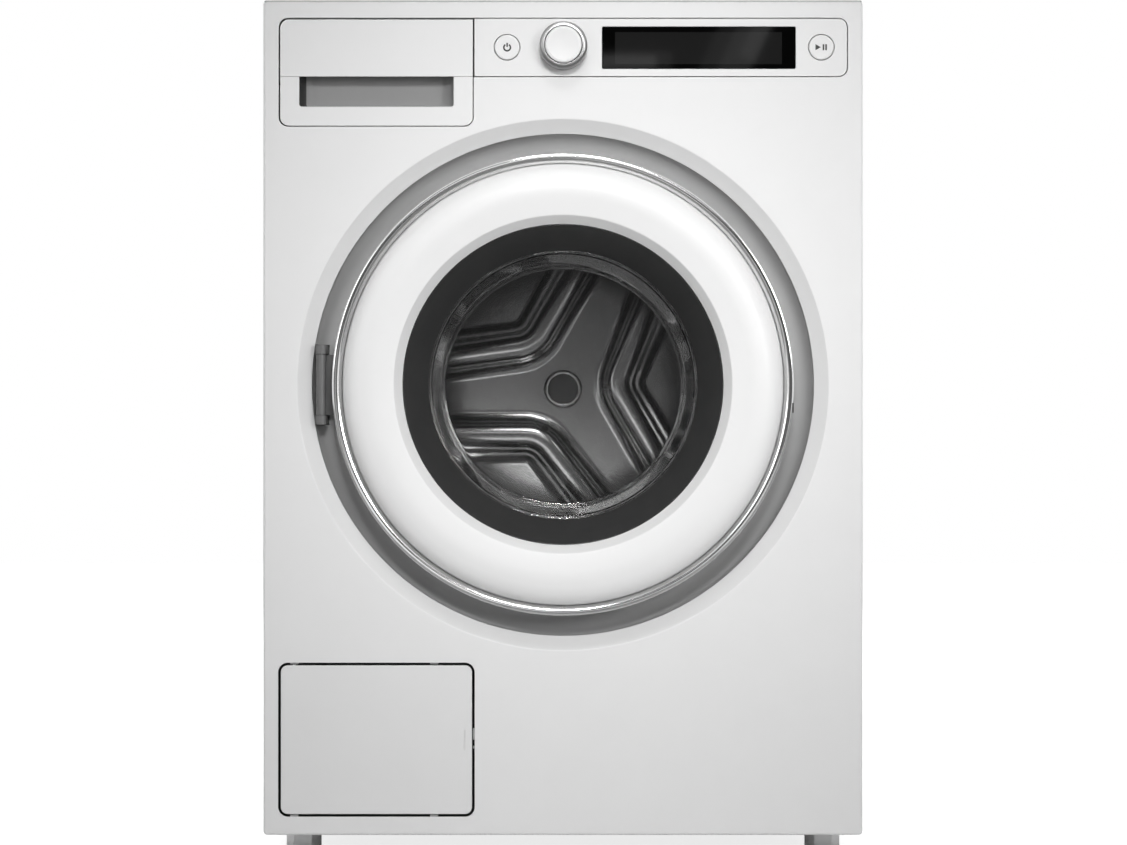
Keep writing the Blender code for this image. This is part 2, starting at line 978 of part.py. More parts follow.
def detergent_drawer():
    """The drawer front with its grip plate and the tray behind it, and the housing that holds them."""
    slide = pivot("drawer_slide", (drawer_left + drawer_right) / 2, 0, strip_bottom)
    left, right = drawer_left + seam, drawer_right - seam
    low, high = drawer_bottom + seam, strip_top - seam
    radius = strip_radius - seam
    front = piece(
        "drawer_front",
        slab(left, right, low, high, 0, drawer_front_depth, [radius, radius, 0, radius]),
        "white_plastic",
        slide,
    )
    cut(
        front,
        block(
            left - overrun, right + overrun, -overrun, plate + rest_gap,
            strip_bottom + rest_gap, high + overrun,
        ),
    )
    cut(
        front,
        slab(
            pocket_left, pocket_right, pocket_bottom, strip_bottom + finger_room,
            -overrun, pocket_depth, [pocket_radius] * 4,
        ),
    )
    piece(
        "drawer_grip_plate",
        slab(left, right, strip_bottom + 2 * rest_gap, high, 0, plate, [0, 0, 0, radius]),
        "white_plastic",
        slide,
    )

    tray_left, tray_right = drawer_left + tray_inset_left, drawer_right - tray_inset_right
    tray_front = drawer_front_depth + rest_gap
    tray = piece(
        "detergent_tray",
        block(tray_left, tray_right, tray_front, tray_back, tray_low, tray_high),
        "white_plastic",
        slide,
    )
    for x0, x1, d0, d1, floor in tray_compartments():
        cut(tray, block(x0, x1, d0, d1, floor, tray_high + overrun))

    box_left, box_right = tray_left - side_gap - tray_wall, tray_right + side_gap + tray_wall
    box_low = tray_low - rest_gap - tray_wall
    box_front = drawer_front_depth + 2 * rest_gap
    housing = piece(
        "drawer_housing",
        block(box_left, box_right, box_front, box_back, box_low, box_high),
        "grey_plastic",
    )
    add(
        housing,
        block(
            rest_gap - inner_half, box_left + tray_wall / 2, lug_depth, lug_depth + lug_width,
            drawer_lug_height, drawer_lug_height + lug_width / 2,
        ),
        post(spigot, hose_top, box_low + tray_wall / 2, hose_x, hose_depth),
        rod(neck_radius, box_back - tray_wall / 2, box_back + neck_length, fill_x, fill_height, 16),
    )
    cut(
        housing,
        block(
            box_left + tray_wall, box_right - tray_wall, box_front - overrun, box_back - tray_wall,
            box_low + tray_wall, box_high - tray_wall,
        ),
        post(spigot - tray_wall, hose_top - overrun, box_low + tray_wall + overrun, hose_x, hose_depth),
        rod(
            neck_radius - neck_wall, box_back - tray_wall - overrun, box_back + neck_length + overrun,
            fill_x, fill_height, 16,
        ),
    )
    use_manifold_solver(housing)


def tray_compartments():
    """Left, right, front, back and floor of the tray's three wells: main wash, prewash and softener."""
    left = drawer_left + tray_inset_left + tray_wall
    right = drawer_right - tray_inset_right - tray_wall
    front, rear = drawer_front_depth + rest_gap + tray_wall, tray_back - tray_wall
    floor = tray_low + tray_wall
    middle = left + main_width
    split = front + prewash_length
    return [
        (left, middle, front, rear, floor),
        (middle + tray_wall, right, front, split, floor + prewash_rise),
        (middle + tray_wall, right, split + tray_wall, rear, floor),
    ]


def door_surround():
    """The dark cove round the door, with the windows for the hinge and the hook."""
    sweep = 4
    rise = cove_floor_depth - dish_depth - run_gap
    spread = dish_inner_radius - rest_gap - cove_floor_radius
    cove = [
        (
            cove_floor_radius + spread * cos(k / sweep * pi / 2),
            cove_floor_depth - rise * (1 - sin(k / sweep * pi / 2)),
        )
        for k in range(sweep + 1)
    ]
    flange_front = dish_depth + 4 * sheet / 3 + rest_gap
    back_depth = cove_floor_depth + surround_wall
    outline = cove + [
        (porthole_radius, cove_floor_depth),
        (porthole_radius, back_depth),
        (cove_floor_radius + surround_shell, back_depth),
        (dish_inner_radius, flange_front + 3 * surround_shell),
        (dish_inner_radius + surround_shell, flange_front + surround_shell),
        (flange_radius, flange_front + surround_shell),
        (flange_radius, flange_front),
        (cove[0][0], flange_front),
    ]
    ring = piece("door_surround", turned(outline), "dark_plastic")
    cut(
        ring,
        block(
            hinge_x - window_half, hinge_x + window_half, 0, back_depth + overrun,
            drum_height - window_rise, drum_height + window_rise,
        ),
        block(
            lock_x - slot_left, lock_x + slot_right, 0, back_depth + overrun,
            lock_height - slot_rise, lock_height + slot_rise,
        ),
    )

    plate_front = back_depth + rest_gap
    bracket = piece(
        "hinge_bracket",
        block(
            hinge_x - plate_left, hinge_x + plate_right, plate_front, plate_front + surround_plate_thickness,
            drum_height - plate_half_height, drum_height + plate_half_height,
        ),
        "zinc",
    )
    lug_gap = hinge_half_height + run_gap
    for side in (-1, 1):
        z0, z1 = sorted(drum_height + side * reach for reach in (lug_gap, lug_gap + surround_lug_height))
        add(
            bracket,
            block(
                hinge_x - surround_lug_half, hinge_x + surround_lug_half,
                surround_lug_front, plate_front + surround_plate_thickness / 2, z0, z1
            ),
        )
    pin_reach = lug_gap + surround_lug_half
    add(
        bracket,
        post(pin_radius, drum_height - pin_reach, drum_height + pin_reach, hinge_x, hinge_depth, 16),
    )

    lock_front = plate_front
    lock = piece(
        "door_lock",
        block(
            lock_x - slot_left - lock_wall, lock_x + slot_right + lock_wall, lock_front, lock_back,
            lock_height - lock_half, lock_height + lock_half,
        ),
        "dark_plastic",
    )
    cut(
        lock,
        block(
            lock_x - slot_left, lock_x + slot_right, lock_front - overrun, lock_back - lock_wall / 2,
            lock_height - slot_rise, lock_height + slot_rise,
        ),
    )


def door():
    """The door's rings, its bowl of glass, and the hook that catches in the lock."""
    hinge = pivot("door_hinge_axis", hinge_x, hinge_depth, drum_height)
    trim = [
        (door_radius, trim_back),
        (door_radius, -trim_shoulder),
        (door_radius - edge_in, -trim_edge),
        (door_radius - trim_crown_in, -trim_crown),
        (door_radius - fall_in, -trim_fall),
        (trim_inner_radius, -trim_lip),
        (trim_inner_radius, trim_back),
    ]
    piece("door_trim_ring", turned(trim), "chrome", hinge)

    outer = trim_inner_radius - frame_gap
    frame = [
        (outer, trim_back),
        (outer, -step),
        (outer - shoulder_in, -door_shoulder),
        (outer - turn_in, -door_turn),
        (outer - brow_in, -brow),
        (outer - frame_crown_in, -door_proud),
        (frame_inner_radius, chamfer_fall - door_proud),
        (chamfer_radius, -chamfer_back),
        (frame_inner_radius + chamfer_wall, inside_fall - door_proud),
        (outer - frame_crown_in, frame_wall + run_gap - door_proud),
        (outer - frame_wall, -chamfer_back),
        (outer - frame_wall, trim_back),
    ]
    piece("door_frame", turned(frame), "white_plastic", hinge)

    cone = [
        (chamfer_radius - cone_gap, cone_top),
        (cone_end_radius, cone_end_depth),
        (cone_end_radius + cone_flange, cone_end_depth),
        (cone_end_radius + cone_flange, cone_end_depth - cone_wall),
        (cone_end_radius + 2 * cone_wall, cone_end_depth - cone_wall),
        (chamfer_radius + cone_lip, cone_top + cone_wall + run_gap),
    ]
    piece("door_cone", turned(cone), "black_gloss", hinge)

    rim_front = cone_end_depth + rest_gap
    bowl = [
        (0, glass_bottom_depth),
        (glass_bottom_radius - 3 * glass_wall, glass_bottom_depth),
        (glass_bottom_radius - glass_wall, glass_bottom_depth - 2 * glass_wall),
        (cone_end_radius - glass_wall, rim_front + rim_thickness),
        (cone_end_radius - rim_step, rim_front),
        (rim_radius, rim_front),
        (rim_radius, rim_front + rim_thickness),
        (cone_end_radius + rim_step / 2, rim_front + rim_thickness),
        (glass_bottom_radius + rim_step / 2, glass_bottom_depth - 2 * glass_wall),
        (glass_bottom_radius - 2 * glass_wall, glass_bottom_depth + glass_wall),
        (0, glass_bottom_depth + glass_wall),
    ]
    piece("door_glass", turned(bowl), "glass", hinge)

    plate_front = trim_back + 2 * rest_gap
    seat = rim_front + rim_thickness + rest_gap
    ring = [
        (outer_edge, plate_front),
        (outer_edge, plate_front + door_plate_thickness),
        (step_radius, plate_front + door_plate_thickness),
        (step_radius - door_plate_thickness / 2, seat + door_plate_thickness),
        (inner_edge, seat + door_plate_thickness),
        (inner_edge, seat),
        (step_radius - 2 * rest_gap, seat),
        (step_radius, plate_front),
    ]
    back_ring = piece("door_back_ring", turned(ring), "grey_plastic", hinge)
    knuckle_low, knuckle_high = drum_height - hinge_half_height, drum_height + hinge_half_height
    add(
        back_ring,
        block(
            hinge_x - arm_half, arm_lap - outer_edge, plate_front, plate_front + arm_thickness,
            knuckle_low, knuckle_high,
        ),
        block(
            hinge_x - arm_half, hinge_x + arm_half, hinge_depth, plate_front + arm_thickness / 2,
            knuckle_low, knuckle_high,
        ),
        post(knuckle, knuckle_low, knuckle_high, hinge_x, hinge_depth, 16),
    )
    cut(
        back_ring,
        post(
            pin_radius + rest_gap, knuckle_low - overrun, knuckle_high + overrun, hinge_x, hinge_depth, 16
        ),
    )

    hook_base = plate_front + door_plate_thickness + run_gap
    catch = pivot("door_hook_pin", lock_x, hook_base + hook_half, lock_height)
    hook = piece(
        "door_hook",
        block(
            lock_x - hook_half, lock_x + hook_half, hook_base, hook_end,
            lock_height - hook_rise, lock_height + hook_rise,
        ),
        "steel",
        catch,
    )
    catch.parent = hinge
    catch.matrix_parent_inverse = Matrix.Translation(-hinge.location)
    add(
        hook,
        block(
            lock_x, lock_x + hook_half + door_tip, hook_end - door_tip, hook_end,
            lock_height - hook_rise, lock_height + hook_rise,
        ),
    )


def service_flap():
    """The flap low on the front, the recess behind it, and the drain pump with its filter."""
    wall = sheet
    low, high = flap_bottom - run_gap, flap_top + run_gap
    left, right = flap_left - flap_lap, flap_right + flap_lap
    recess = piece(
        "service_recess",
        block(left - wall, right + wall, sheet + rest_gap, recess_depth + wall, low - wall, high + wall),
        "grey_plastic",
    )
    cut(recess, block(left, right, -overrun, recess_depth, low, high))
    lip = flap_gap - flap_lap
    for x in (flap_pivot_x, snap_x):
        for z0, z1 in ((high - run_gap - lip, high + wall / 2), (low - wall / 2, low + run_gap + lip)):
            add(recess, block(x - flap_lug_half, x + flap_lug_half, flap_lug_front, lug_back, z0, z1))
    add(
        recess,
        block(
            right - run_gap - lip, right + wall / 2, flap_lug_front, lug_back,
            snap_z - flap_lug_half, snap_z + flap_lug_half,
        ),
    )
    cut(
        recess,
        post(pin + rest_gap, flap_top - lip - overrun, high, flap_pivot_x, flap_pivot_depth, 12),
        post(pin + rest_gap, low, flap_bottom + lip + overrun, flap_pivot_x, flap_pivot_depth, 12),
        rod(
            filter_bore + rest_gap, recess_depth - overrun, recess_depth + overrun,
            filter_x, filter_height, 24,
        ),
    )

    hinge = pivot("service_flap_hinge", flap_pivot_x, flap_pivot_depth, (flap_bottom + flap_top) / 2)
    x0, x1 = flap_left + flap_gap, flap_right - flap_gap
    z0, z1 = flap_bottom + flap_gap, flap_top - flap_gap
    radius = strip_radius - flap_gap
    flap = piece(
        "service_flap", slab(x0, x1, z0, z1, 0, flap_thickness, [radius] * 4, flap_soft),
        "white_plastic", hinge
    )
    outer_radius = radius - rim_inset
    outer = rounded(
        x0 + rim_inset, x1 - rim_inset, z0 + rim_inset, z1 - rim_inset, [outer_radius] * 4
    )
    inset = rim_inset + flap_rim_wall
    inner = rounded(x0 + inset, x1 - inset, z0 + inset, z1 - inset, [outer_radius - flap_rim_wall] * 4)
    add(flap, band(inner, outer, flap_thickness - rest_gap, flap_rim_depth))
    pin_reach = flap_gap - run_gap
    add(
        flap,
        post(pin, z1 - 3 * flap_rim_wall, z1 + pin_reach, flap_pivot_x, flap_pivot_depth, 12),
        post(pin, z0 - pin_reach, z0 + 3 * flap_rim_wall, flap_pivot_x, flap_pivot_depth, 12),
    )
    cut(flap, block(slot_x - slot_half, slot_x + slot_half, -overrun, slot_cut, slot_low, slot_high))

    body_front = recess_depth + wall + rest_gap
    profile = [
        (0, bore_end),
        (filter_bore, bore_end),
        (filter_bore, body_front),
        (filter_bore + body_wall, body_front),
        (filter_bore + body_wall, body_step),
        (flap_motor, body_step),
        (flap_motor, body_end),
        (0, body_end),
    ]
    pump = piece("drain_pump", turned(profile, filter_x, filter_height, 24), "dark_plastic")
    add(
        pump,
        block(
            filter_x - foot_half, filter_x + foot_half, foot_front, foot_back,
            pan_top + rest_gap, filter_height - filter_bore - body_wall / 2,
        ),
        post(sump_radius, filter_height + flap_motor / 2, sump_low, filter_x, sump_depth),
    )

    plug = pivot("filter_plug_axis", filter_x, recess_depth, filter_height)
    profile = [
        (0, disc_depth),
        (disc - surround_wall, disc_depth),
        (disc, disc_depth + surround_wall),
        (disc, recess_depth - rest_gap),
        (filter_bore - run_gap, recess_depth - rest_gap),
        (filter_bore - run_gap, basket_end),
        (0, basket_end),
    ]
    cap = piece("filter_plug", turned(profile, filter_x, filter_height, 24), "dark_plastic", plug)
    add(
        cap,
        block(
            filter_x - bar_reach, filter_x + bar_reach, bar_front, disc_depth + run_gap,
            filter_height - bar_half, filter_height + bar_half,
        ),
    )


def band(inner, outer, depth0, depth1):
    """A closed band between an inner and an outer outline with the same number of points."""
    bm = bmesh.new()
    rings = [
        [bm.verts.new((x, back(depth), z)) for x, z in outline]
        for outline, depth in ((outer, depth0), (outer, depth1), (inner, depth1), (inner, depth0))
    ]
    for near, far in zip(rings, rings[1:] + rings[:1]):
        for i in range(len(near)):
            j = (i + 1) % len(near)
            bm.faces.new((near[i], near[j], far[j], far[i]))
    bmesh.ops.recalc_face_normals(bm, faces=bm.faces)
    return bm


def chevron(angle, apex, arm, half_low, half_high, depth_low, depth_high):
    """A pressed V rib on the drum's back, its point towards the hub and its arms swept outward."""
    opening = radians(64)
    u = Vector((cos(angle), sin(angle)))
    tip = u * apex
    sections = []
    for depth, half in ((depth_low, half_low), (depth_high, half_high)):
        reach = arm + half - half_high
        arms = [Vector((cos(angle + turn), sin(angle + turn))) for turn in (-opening, opening)]
        ends = [tip + d * reach for d in arms]
        normals = [Vector((d.y, -d.x)) * half for d in arms]
        mitre = u * (half / sin(opening))
        outline = [
            ends[0] + normals[0],
            ends[0] - normals[0],
            tip + mitre,
            ends[1] + normals[1],
            ends[1] - normals[1],
            tip - mitre,
        ]
        sections.append([(p.x, back(depth), drum_height + p.y) for p in outline])
    return loft(sections)


def drum():
    """The drum with its three V ribs and lifters, and what turns with it."""
    axis = pivot("drum_axis", 0, drum_back_depth, drum_height)
    wall = drum_wall
    inner_back = drum_back_depth - wall
    front = drum_front_depth
    profile = [
        (drum_mouth_radius, front),
        (drum_mouth_radius + drum_lip, front - wall),
        (drum_radius - drum_shoulder, front + drum_lip + wall),
        (drum_radius, front + drum_lip + wall + drum_shoulder),
        (drum_radius, drum_back_depth),
        (hub_hole, drum_back_depth),
        (hub_hole, inner_back),
        (drum_radius - wall, inner_back),
        (drum_radius - wall, front + drum_lip + 2 * wall + drum_shoulder),
        (drum_radius - drum_shoulder - wall, front + drum_lip + 2 * wall),
        (drum_mouth_radius + drum_lip + wall / 2, front + wall / 4),
        (drum_mouth_radius, front + wall),
    ]
    shell = piece("drum_shell", turned(profile), "steel", axis)
    rib_angles = [radians(4 + 120 * k) for k in range(3)]
    for angle in rib_angles:
        add(
            shell,
            chevron(
                angle, drum_apex, drum_arm, rib_half_low, rib_half_high,
                inner_back + wall / 2, inner_back - rib_height,
            ),
        )

    cap = [
        (0, inner_back - cap_depth),
        (cap_radius - 3 * wall, inner_back - cap_depth),
        (cap_radius - wall, inner_back - cap_depth + wall),
        (cap_radius, inner_back - rest_gap - wall),
        (cap_radius, inner_back - rest_gap),
        (0, inner_back - rest_gap),
    ]
    piece("hub_cap", turned(cap, steps=24), "chrome", axis)

    spider_front = drum_back_depth + rest_gap
    profile = [
        (0, spider_front),
        (hub_radius, spider_front),
        (hub_radius, spider_front + hub_depth),
        (shaft_radius, spider_front + hub_depth),
        (shaft_radius, drum_shaft_end),
        (0, drum_shaft_end),
    ]
    spider = piece("drum_spider", turned(profile, steps=24), "aluminium", axis)
    for angle in rib_angles:
        u, n = Vector((cos(angle), sin(angle))), Vector((-sin(angle), cos(angle)))
        corners = [
            u * shaft_radius - n * spoke_half,
            u * spoke_reach - n * spoke_half / 2,
            u * spoke_reach + n * spoke_half / 2,
            u * shaft_radius + n * spoke_half,
        ]
        add(
            spider,
            loft(
                [
                    [(p.x, back(d), drum_height + p.y) for p in corners]
                    for d in (spider_front, spider_front + spoke_depth)
                ]
            ),
        )

    draft_share = 0.9
    seat = (drum_radius - wall) * cos(pi / round_steps) - rest_gap
    for number, angle in enumerate(rib_angles, 1):
        turn = angle + pi / 3
        u, n = Vector((cos(turn), sin(turn))), Vector((-sin(turn), cos(turn)))
        low = sqrt(seat**2 - base_half**2) - rest_gap
        sections = []
        for depth, height in (
            (lifter_front, drum_slope / 3),
            (lifter_front + drum_slope, lifter_height),
            (lifter_back - drum_slope, lifter_height),
            (lifter_back, drum_slope / 3),
        ):
            share = height / lifter_height
            crest = draft_share * (crest_half + (base_half - crest_half) * (1 - share))
            corners = [
                u * low - n * base_half,
                u * seat,
                u * low + n * base_half,
                u * (low - height) + n * crest,
                u * (low - height) - n * crest,
            ]
            sections.append([(p.x, back(depth), drum_height + p.y) for p in corners])
        piece(f"drum_lifter_{number}", loft(sections), "grey_plastic", axis)

    bore = shaft_radius + rest_gap
    mid = pulley_depth + pulley_width / 2
    profile = [
        (bore, mid - web),
        (pulley_radius - drum_rim, mid - web),
        (pulley_radius - drum_rim, pulley_depth),
        (pulley_radius, pulley_depth),
        (pulley_radius, pulley_depth + pulley_width),
        (pulley_radius - drum_rim, pulley_depth + pulley_width),
        (pulley_radius - drum_rim, mid + web),
        (bore, mid + web),
    ]
    wheel = piece("drum_pulley", turned(profile), "aluminium", axis)
    windows = 5
    middle = (hub + pulley_radius - drum_rim) / 2
    for k in range(windows):
        angle = tau * k / windows
        cut(
            wheel,
            rod(
                window_radius, pulley_depth - overrun, pulley_depth + pulley_width + overrun,
                middle * cos(angle), drum_height + middle * sin(angle), 12,
            ),
        )


def tub():
    """The hanging tub: barrel, front ring, bearing, heater, ballast, damper rods and motor."""
    travel = pivot("tub_travel", 0, tub_split_depth, drum_height)
    inner = tub_radius - tub_wall
    split = tub_split_depth + rest_gap
    outer = [
        (0, split),
        (tub_radius + flange, split),
        (tub_radius + flange, split + flange_width),
        (tub_radius, split + flange_width + sheet),
        (tub_radius, tub_back_depth),
        (boss_radius, tub_back_depth + overrun),
        (boss_radius, boss_end_depth),
        (0, boss_end_depth),
    ]
    barrel = piece("tub_barrel", turned(outer), "grey_plastic", travel)
    for side in (-1, 1):
        x0, x1 = sorted((side * (spring_x - lug_inner), side * (spring_x + lug_outer)))
        add(
            barrel,
            block(
                x0, x1, spring_depth - tub_lug_half, spring_depth + tub_lug_half,
                spring_low - tub_lug_half, spring_low - rest_gap,
            ),
            block(
                side * damper_x - tub_lug_half, side * damper_x + tub_lug_half, damper_depth - tub_lug_half,
                damper_depth + tub_lug_half, damper_top + rest_gap, damper_lug_top,
            ),
        )
    add(
        barrel,
        post(hose_radius, drum_height, dispenser_low, hose_x, hose_depth),
        post(sump_radius, sump_high, drum_height, filter_x, sump_depth),
    )
    shoulder_depth = tub_back_depth + overrun + sheet
    inside = [
        (0, tub_split_depth - overrun),
        (inner, tub_split_depth - overrun),
        (inner, tub_back_depth - 2 * tub_wall),
        (shaft_hole, tub_back_depth + tub_wall),
        (shaft_hole, shoulder_depth),
        (bearing_radius + rest_gap, shoulder_depth),
        (bearing_radius + rest_gap, boss_end_depth + overrun),
        (0, boss_end_depth + overrun),
    ]
    cut(
        barrel,
        turned(inside),
        post(hose_radius - tub_wall, drum_height, dispenser_low + overrun, hose_x, hose_depth, 16),
        post(sump_radius - tub_wall, sump_high - overrun, drum_height, filter_x, sump_depth, 16),
    )
    use_manifold_solver(barrel)

    front = tub_front_depth
    profile = [
        (tub_neck_radius - tub_wall, tub_neck_depth),
        (tub_neck_radius, tub_neck_depth),
        (tub_neck_radius + sheet, front - sheet),
        (tub_radius - tub_wall - sheet, front),
        (tub_radius, front + 2 * tub_wall),
        (tub_radius, tub_split_depth - flange_width - sheet),
        (tub_radius + flange, tub_split_depth - flange_width),
        (tub_radius + flange, tub_split_depth),
        (inner, tub_split_depth),
        (inner, front + 3 * tub_wall),
        (inner - tub_wall, front + 5 * tub_wall / 3),
        (tub_neck_radius - tub_wall, front + tub_wall),
    ]
    piece("tub_front", turned(profile), "grey_plastic", travel)

    bearing_front = shoulder_depth + rest_gap
    bearing = [
        (shaft_radius + rest_gap, bearing_front),
        (bearing_radius, bearing_front),
        (bearing_radius, bearing_front + bearing_width),
        (shaft_radius + rest_gap, bearing_front + bearing_width),
    ]
    piece("drum_bearing", turned(bearing, steps=24), "steel", travel)

    heater_z = drum_height - heater_drop
    bend = 8
    heater_back = tub_back_depth - 2 * tub_wall - rest_gap
    route = [(-heater_half, back(heater_back), heater_z)]
    route += [
        (
            -heater_half * cos(pi * k / bend),
            back(heater_front + heater_half - heater_half * sin(pi * k / bend)),
            heater_z,
        )
        for k in range(bend + 1)
    ]
    route.append((heater_half, back(heater_back), heater_z))
    heater = tube("heating_element", route, heater_radius, "steel", 1)
    heater.parent = travel
    heater.matrix_parent_inverse = Matrix.Translation(-travel.location)

    reach = 10
    spread = radians(80)
    ballast_low = (tub_radius + rest_gap) / cos(spread / reach / 2)
    turns = [(pi - spread) / 2 + spread * k / reach for k in range(reach + 1)]
    arcs = [
        [(radius * cos(turn), drum_height + radius * sin(turn)) for turn in turns]
        for radius in (ballast_low, ballast_low + ballast_thickness)
    ]
    outline = arcs[0] + arcs[1][::-1]
    piece(
        "counterweight",
        loft([[(x, back(d), z) for x, z in outline] for d in (ballast_front, ballast_back)]),
        "concrete",
        travel,
    )

    for side, name in ((-1, "left"), (1, "right")):
        profile = [
            (0, piston_low),
            (damper_bore - rest_gap, piston_low),
            (damper_bore - rest_gap, piston_low + piston_length),
            (rod_radius, piston_low + piston_length),
            (rod_radius, damper_top - eye),
            (2 * rod_radius, damper_top - eye),
            (2 * rod_radius, damper_top),
            (0, damper_top),
        ]
        piece(f"damper_rod_{name}", upright(profile, side * damper_x, damper_depth, 12), "steel", travel)
        floor = pan_top + rest_gap
        profile = [
            (0, floor),
            (damper_bore + tub_wall_size, floor),
            (damper_bore + tub_wall_size, mouth),
            (damper_bore, mouth),
            (damper_bore, bore_floor),
            (0, bore_floor),
        ]
        piece(f"damper_cylinder_{name}", upright(profile, side * damper_x, damper_depth, 12), "zinc")

    profile = [
        (0, motor_front),
        (motor_radius, motor_front),
        (motor_radius, motor_back),
        (motor_shaft + rest_gap, motor_back),
        (motor_shaft + rest_gap, motor_bore_end),
        (0, motor_bore_end),
    ]
    motor = piece("motor", turned(profile, 0, motor_height, 24), "aluminium", travel)
    add(
        motor,
        block(
            -saddle_half, saddle_half, saddle_front, saddle_back,
            motor_height + motor_radius / 2, drum_height - tub_radius - rest_gap,
        ),
    )
    spindle = pivot("motor_axis", 0, pulley_depth, motor_height)
    spindle.parent = travel
    spindle.matrix_parent_inverse = Matrix.Translation(-travel.location)
    profile = [
        (0, motor_bore_end + rest_gap),
        (motor_shaft, motor_bore_end + rest_gap),
        (motor_shaft, pulley_depth),
        (motor_pulley_radius, pulley_depth),
        (motor_pulley_radius, pulley_depth + pulley_width),
        (motor_shaft, pulley_depth + pulley_width),
        (motor_shaft, tub_shaft_end),
        (0, tub_shaft_end),
    ]
    piece("motor_pulley", turned(profile, 0, motor_height, 16), "steel", spindle)
    belt(travel)


def belt(travel):
    """The flat belt round the two pulleys, laid on their outer tangents."""
    span = drum_height - motor_height
    lean = asin((pulley_radius - motor_pulley_radius) / span)
    turns = 28

    def path(grow):
        points = []
        for k in range(turns + 1):
            angle = -lean + (pi + 2 * lean) * k / turns
            radius = pulley_radius + grow
            points.append((radius * cos(angle), drum_height + radius * sin(angle)))
        for k in range(turns // 3 + 1):
            angle = pi + lean + (pi - 2 * lean) * k / (turns // 3)
            radius = motor_pulley_radius + grow
            points.append((radius * cos(angle), motor_height + radius * sin(angle)))
        return points

    bm = band(
        path(run_gap), path(run_gap + belt_thickness), pulley_depth + belt_inset,
        pulley_depth + pulley_width - belt_inset,
    )
    piece("drive_belt", bm, "rubber", travel)


def soft_parts():
    """The two suspension springs, the door seal and the two bellows that follow the tub."""
    curls = 8
    points_per_curl = 8
    steps = curls * points_per_curl
    low, high = spring_low + wire, shelf_height - rest_gap - wire
    for side, name in ((-1, "left"), (1, "right")):
        route = []
        for k in range(steps + 1):
            angle = tau * k / points_per_curl
            height = low + (high - low) * k / steps
            x, y = side * spring_x + coil * cos(angle), back(spring_depth) + coil * sin(angle)
            route.append((x, y, height))
        tube(f"suspension_spring_{name}", route, wire, "steel", 0)

    rim = porthole_radius - rest_gap
    neck = tub_neck_radius + sheet
    front = cove_floor_depth - run_gap
    profile = [
        (rim, front),
        (rim, soft_rim_depth),
        (rim - groove_in, groove_depth),
        (rim - rest_gap, bulge_depth),
        (neck + cuff_wall, cuff_depth),
        (neck + rest_gap, cuff_depth),
        (neck + rest_gap, tub_neck_depth - rest_gap),
        (gutter_radius, tub_neck_depth - rest_gap),
        (lip_radius, bulge_depth),
        (lip_radius + lip_rise, bulge_depth - lip_wall),
        (throat_radius, throat_depth),
        (mouth_radius, mouth_depth),
    ]
    piece("door_seal", turned(profile), "rubber")

    for name, x, depth, low, high, radius in (
        ("dispenser_hose", hose_x, hose_depth, dispenser_low, hose_top, hose_radius),
        ("sump_hose", filter_x, sump_depth, sump_low, sump_high, sump_radius),
    ):
        z0, z1 = low + rest_gap, high - rest_gap
        bore = radius - tub_wall
        profile = [(bore, z0), (radius, z0), (radius, z1), (bore, z1)]
        piece(name, upright(profile, x, depth, 16), "rubber")


def rear_fittings():
    """The water inlet valve, the fill hose to the drawer housing, and the mains cord's gland."""
    inside = cabinet_depth - sheet - rest_gap
    valve = piece(
        "inlet_valve",
        block(
            valve_x - body_half, valve_x + body_half, inside - body_length, inside,
            valve_height - body_half_height, valve_height + body_half_height,
        ),
        "grey_plastic",
    )
    add(
        valve,
        rod(valve_thread, inside - sheet, cabinet_depth + rear_proud, valve_x, valve_height),
        rod(
            outlet_radius, inside - body_length - outlet_length, inside - body_length + sheet,
            valve_x, valve_height, 16,
        ),
    )
    cut(
        valve,
        rod(
            valve_thread - 2 * sheet, cabinet_depth + sheet, cabinet_depth + overrun + rear_proud,
            valve_x, valve_height,
        ),
    )

    start = Vector((valve_x, back(inside - body_length - outlet_length - rest_gap), valve_height))
    end = Vector((fill_x, back(housing_neck_end + rest_gap), fill_height))
    count = 12
    route = []
    for k in range(count + 1):
        along = k / count
        ease = along * along * (3 - 2 * along)
        sag = hose_sag * sin(pi * ease) ** 2
        route.append(
            (
                start.x + (end.x - start.x) * ease,
                start.y + (end.y - start.y) * along,
                start.z + (end.z - start.z) * ease - sag,
            )
        )
    tube("fill_hose", route, outlet_radius, "rubber", 1)

    profile = [
        (0, cabinet_depth - inner_length),
        (gland_radius, cabinet_depth - inner_length),
        (gland_radius, cabinet_depth + rest_gap),
        (head, cabinet_depth + rest_gap),
        (head, cabinet_depth + head_length),
        (nose, cabinet_depth + head_length + sheet),
        (0, cabinet_depth + head_length + sheet),
    ]
    piece("cable_gland", turned(profile, gland_x, gland_height, 16), "dark_plastic")


clear_scene()
cabinet_front()
cabinet_shell()
feet()
control_strip()
detergent_drawer()
door_surround()
door()
service_flap()
drum()
tub()
soft_parts()
rear_fittings()
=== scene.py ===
"""The looks of the front-loading washing machine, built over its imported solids."""

from math import cos, hypot, pi, radians, sin, sqrt, tau

import bmesh
import bpy
import numpy as np
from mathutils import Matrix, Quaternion, Vector


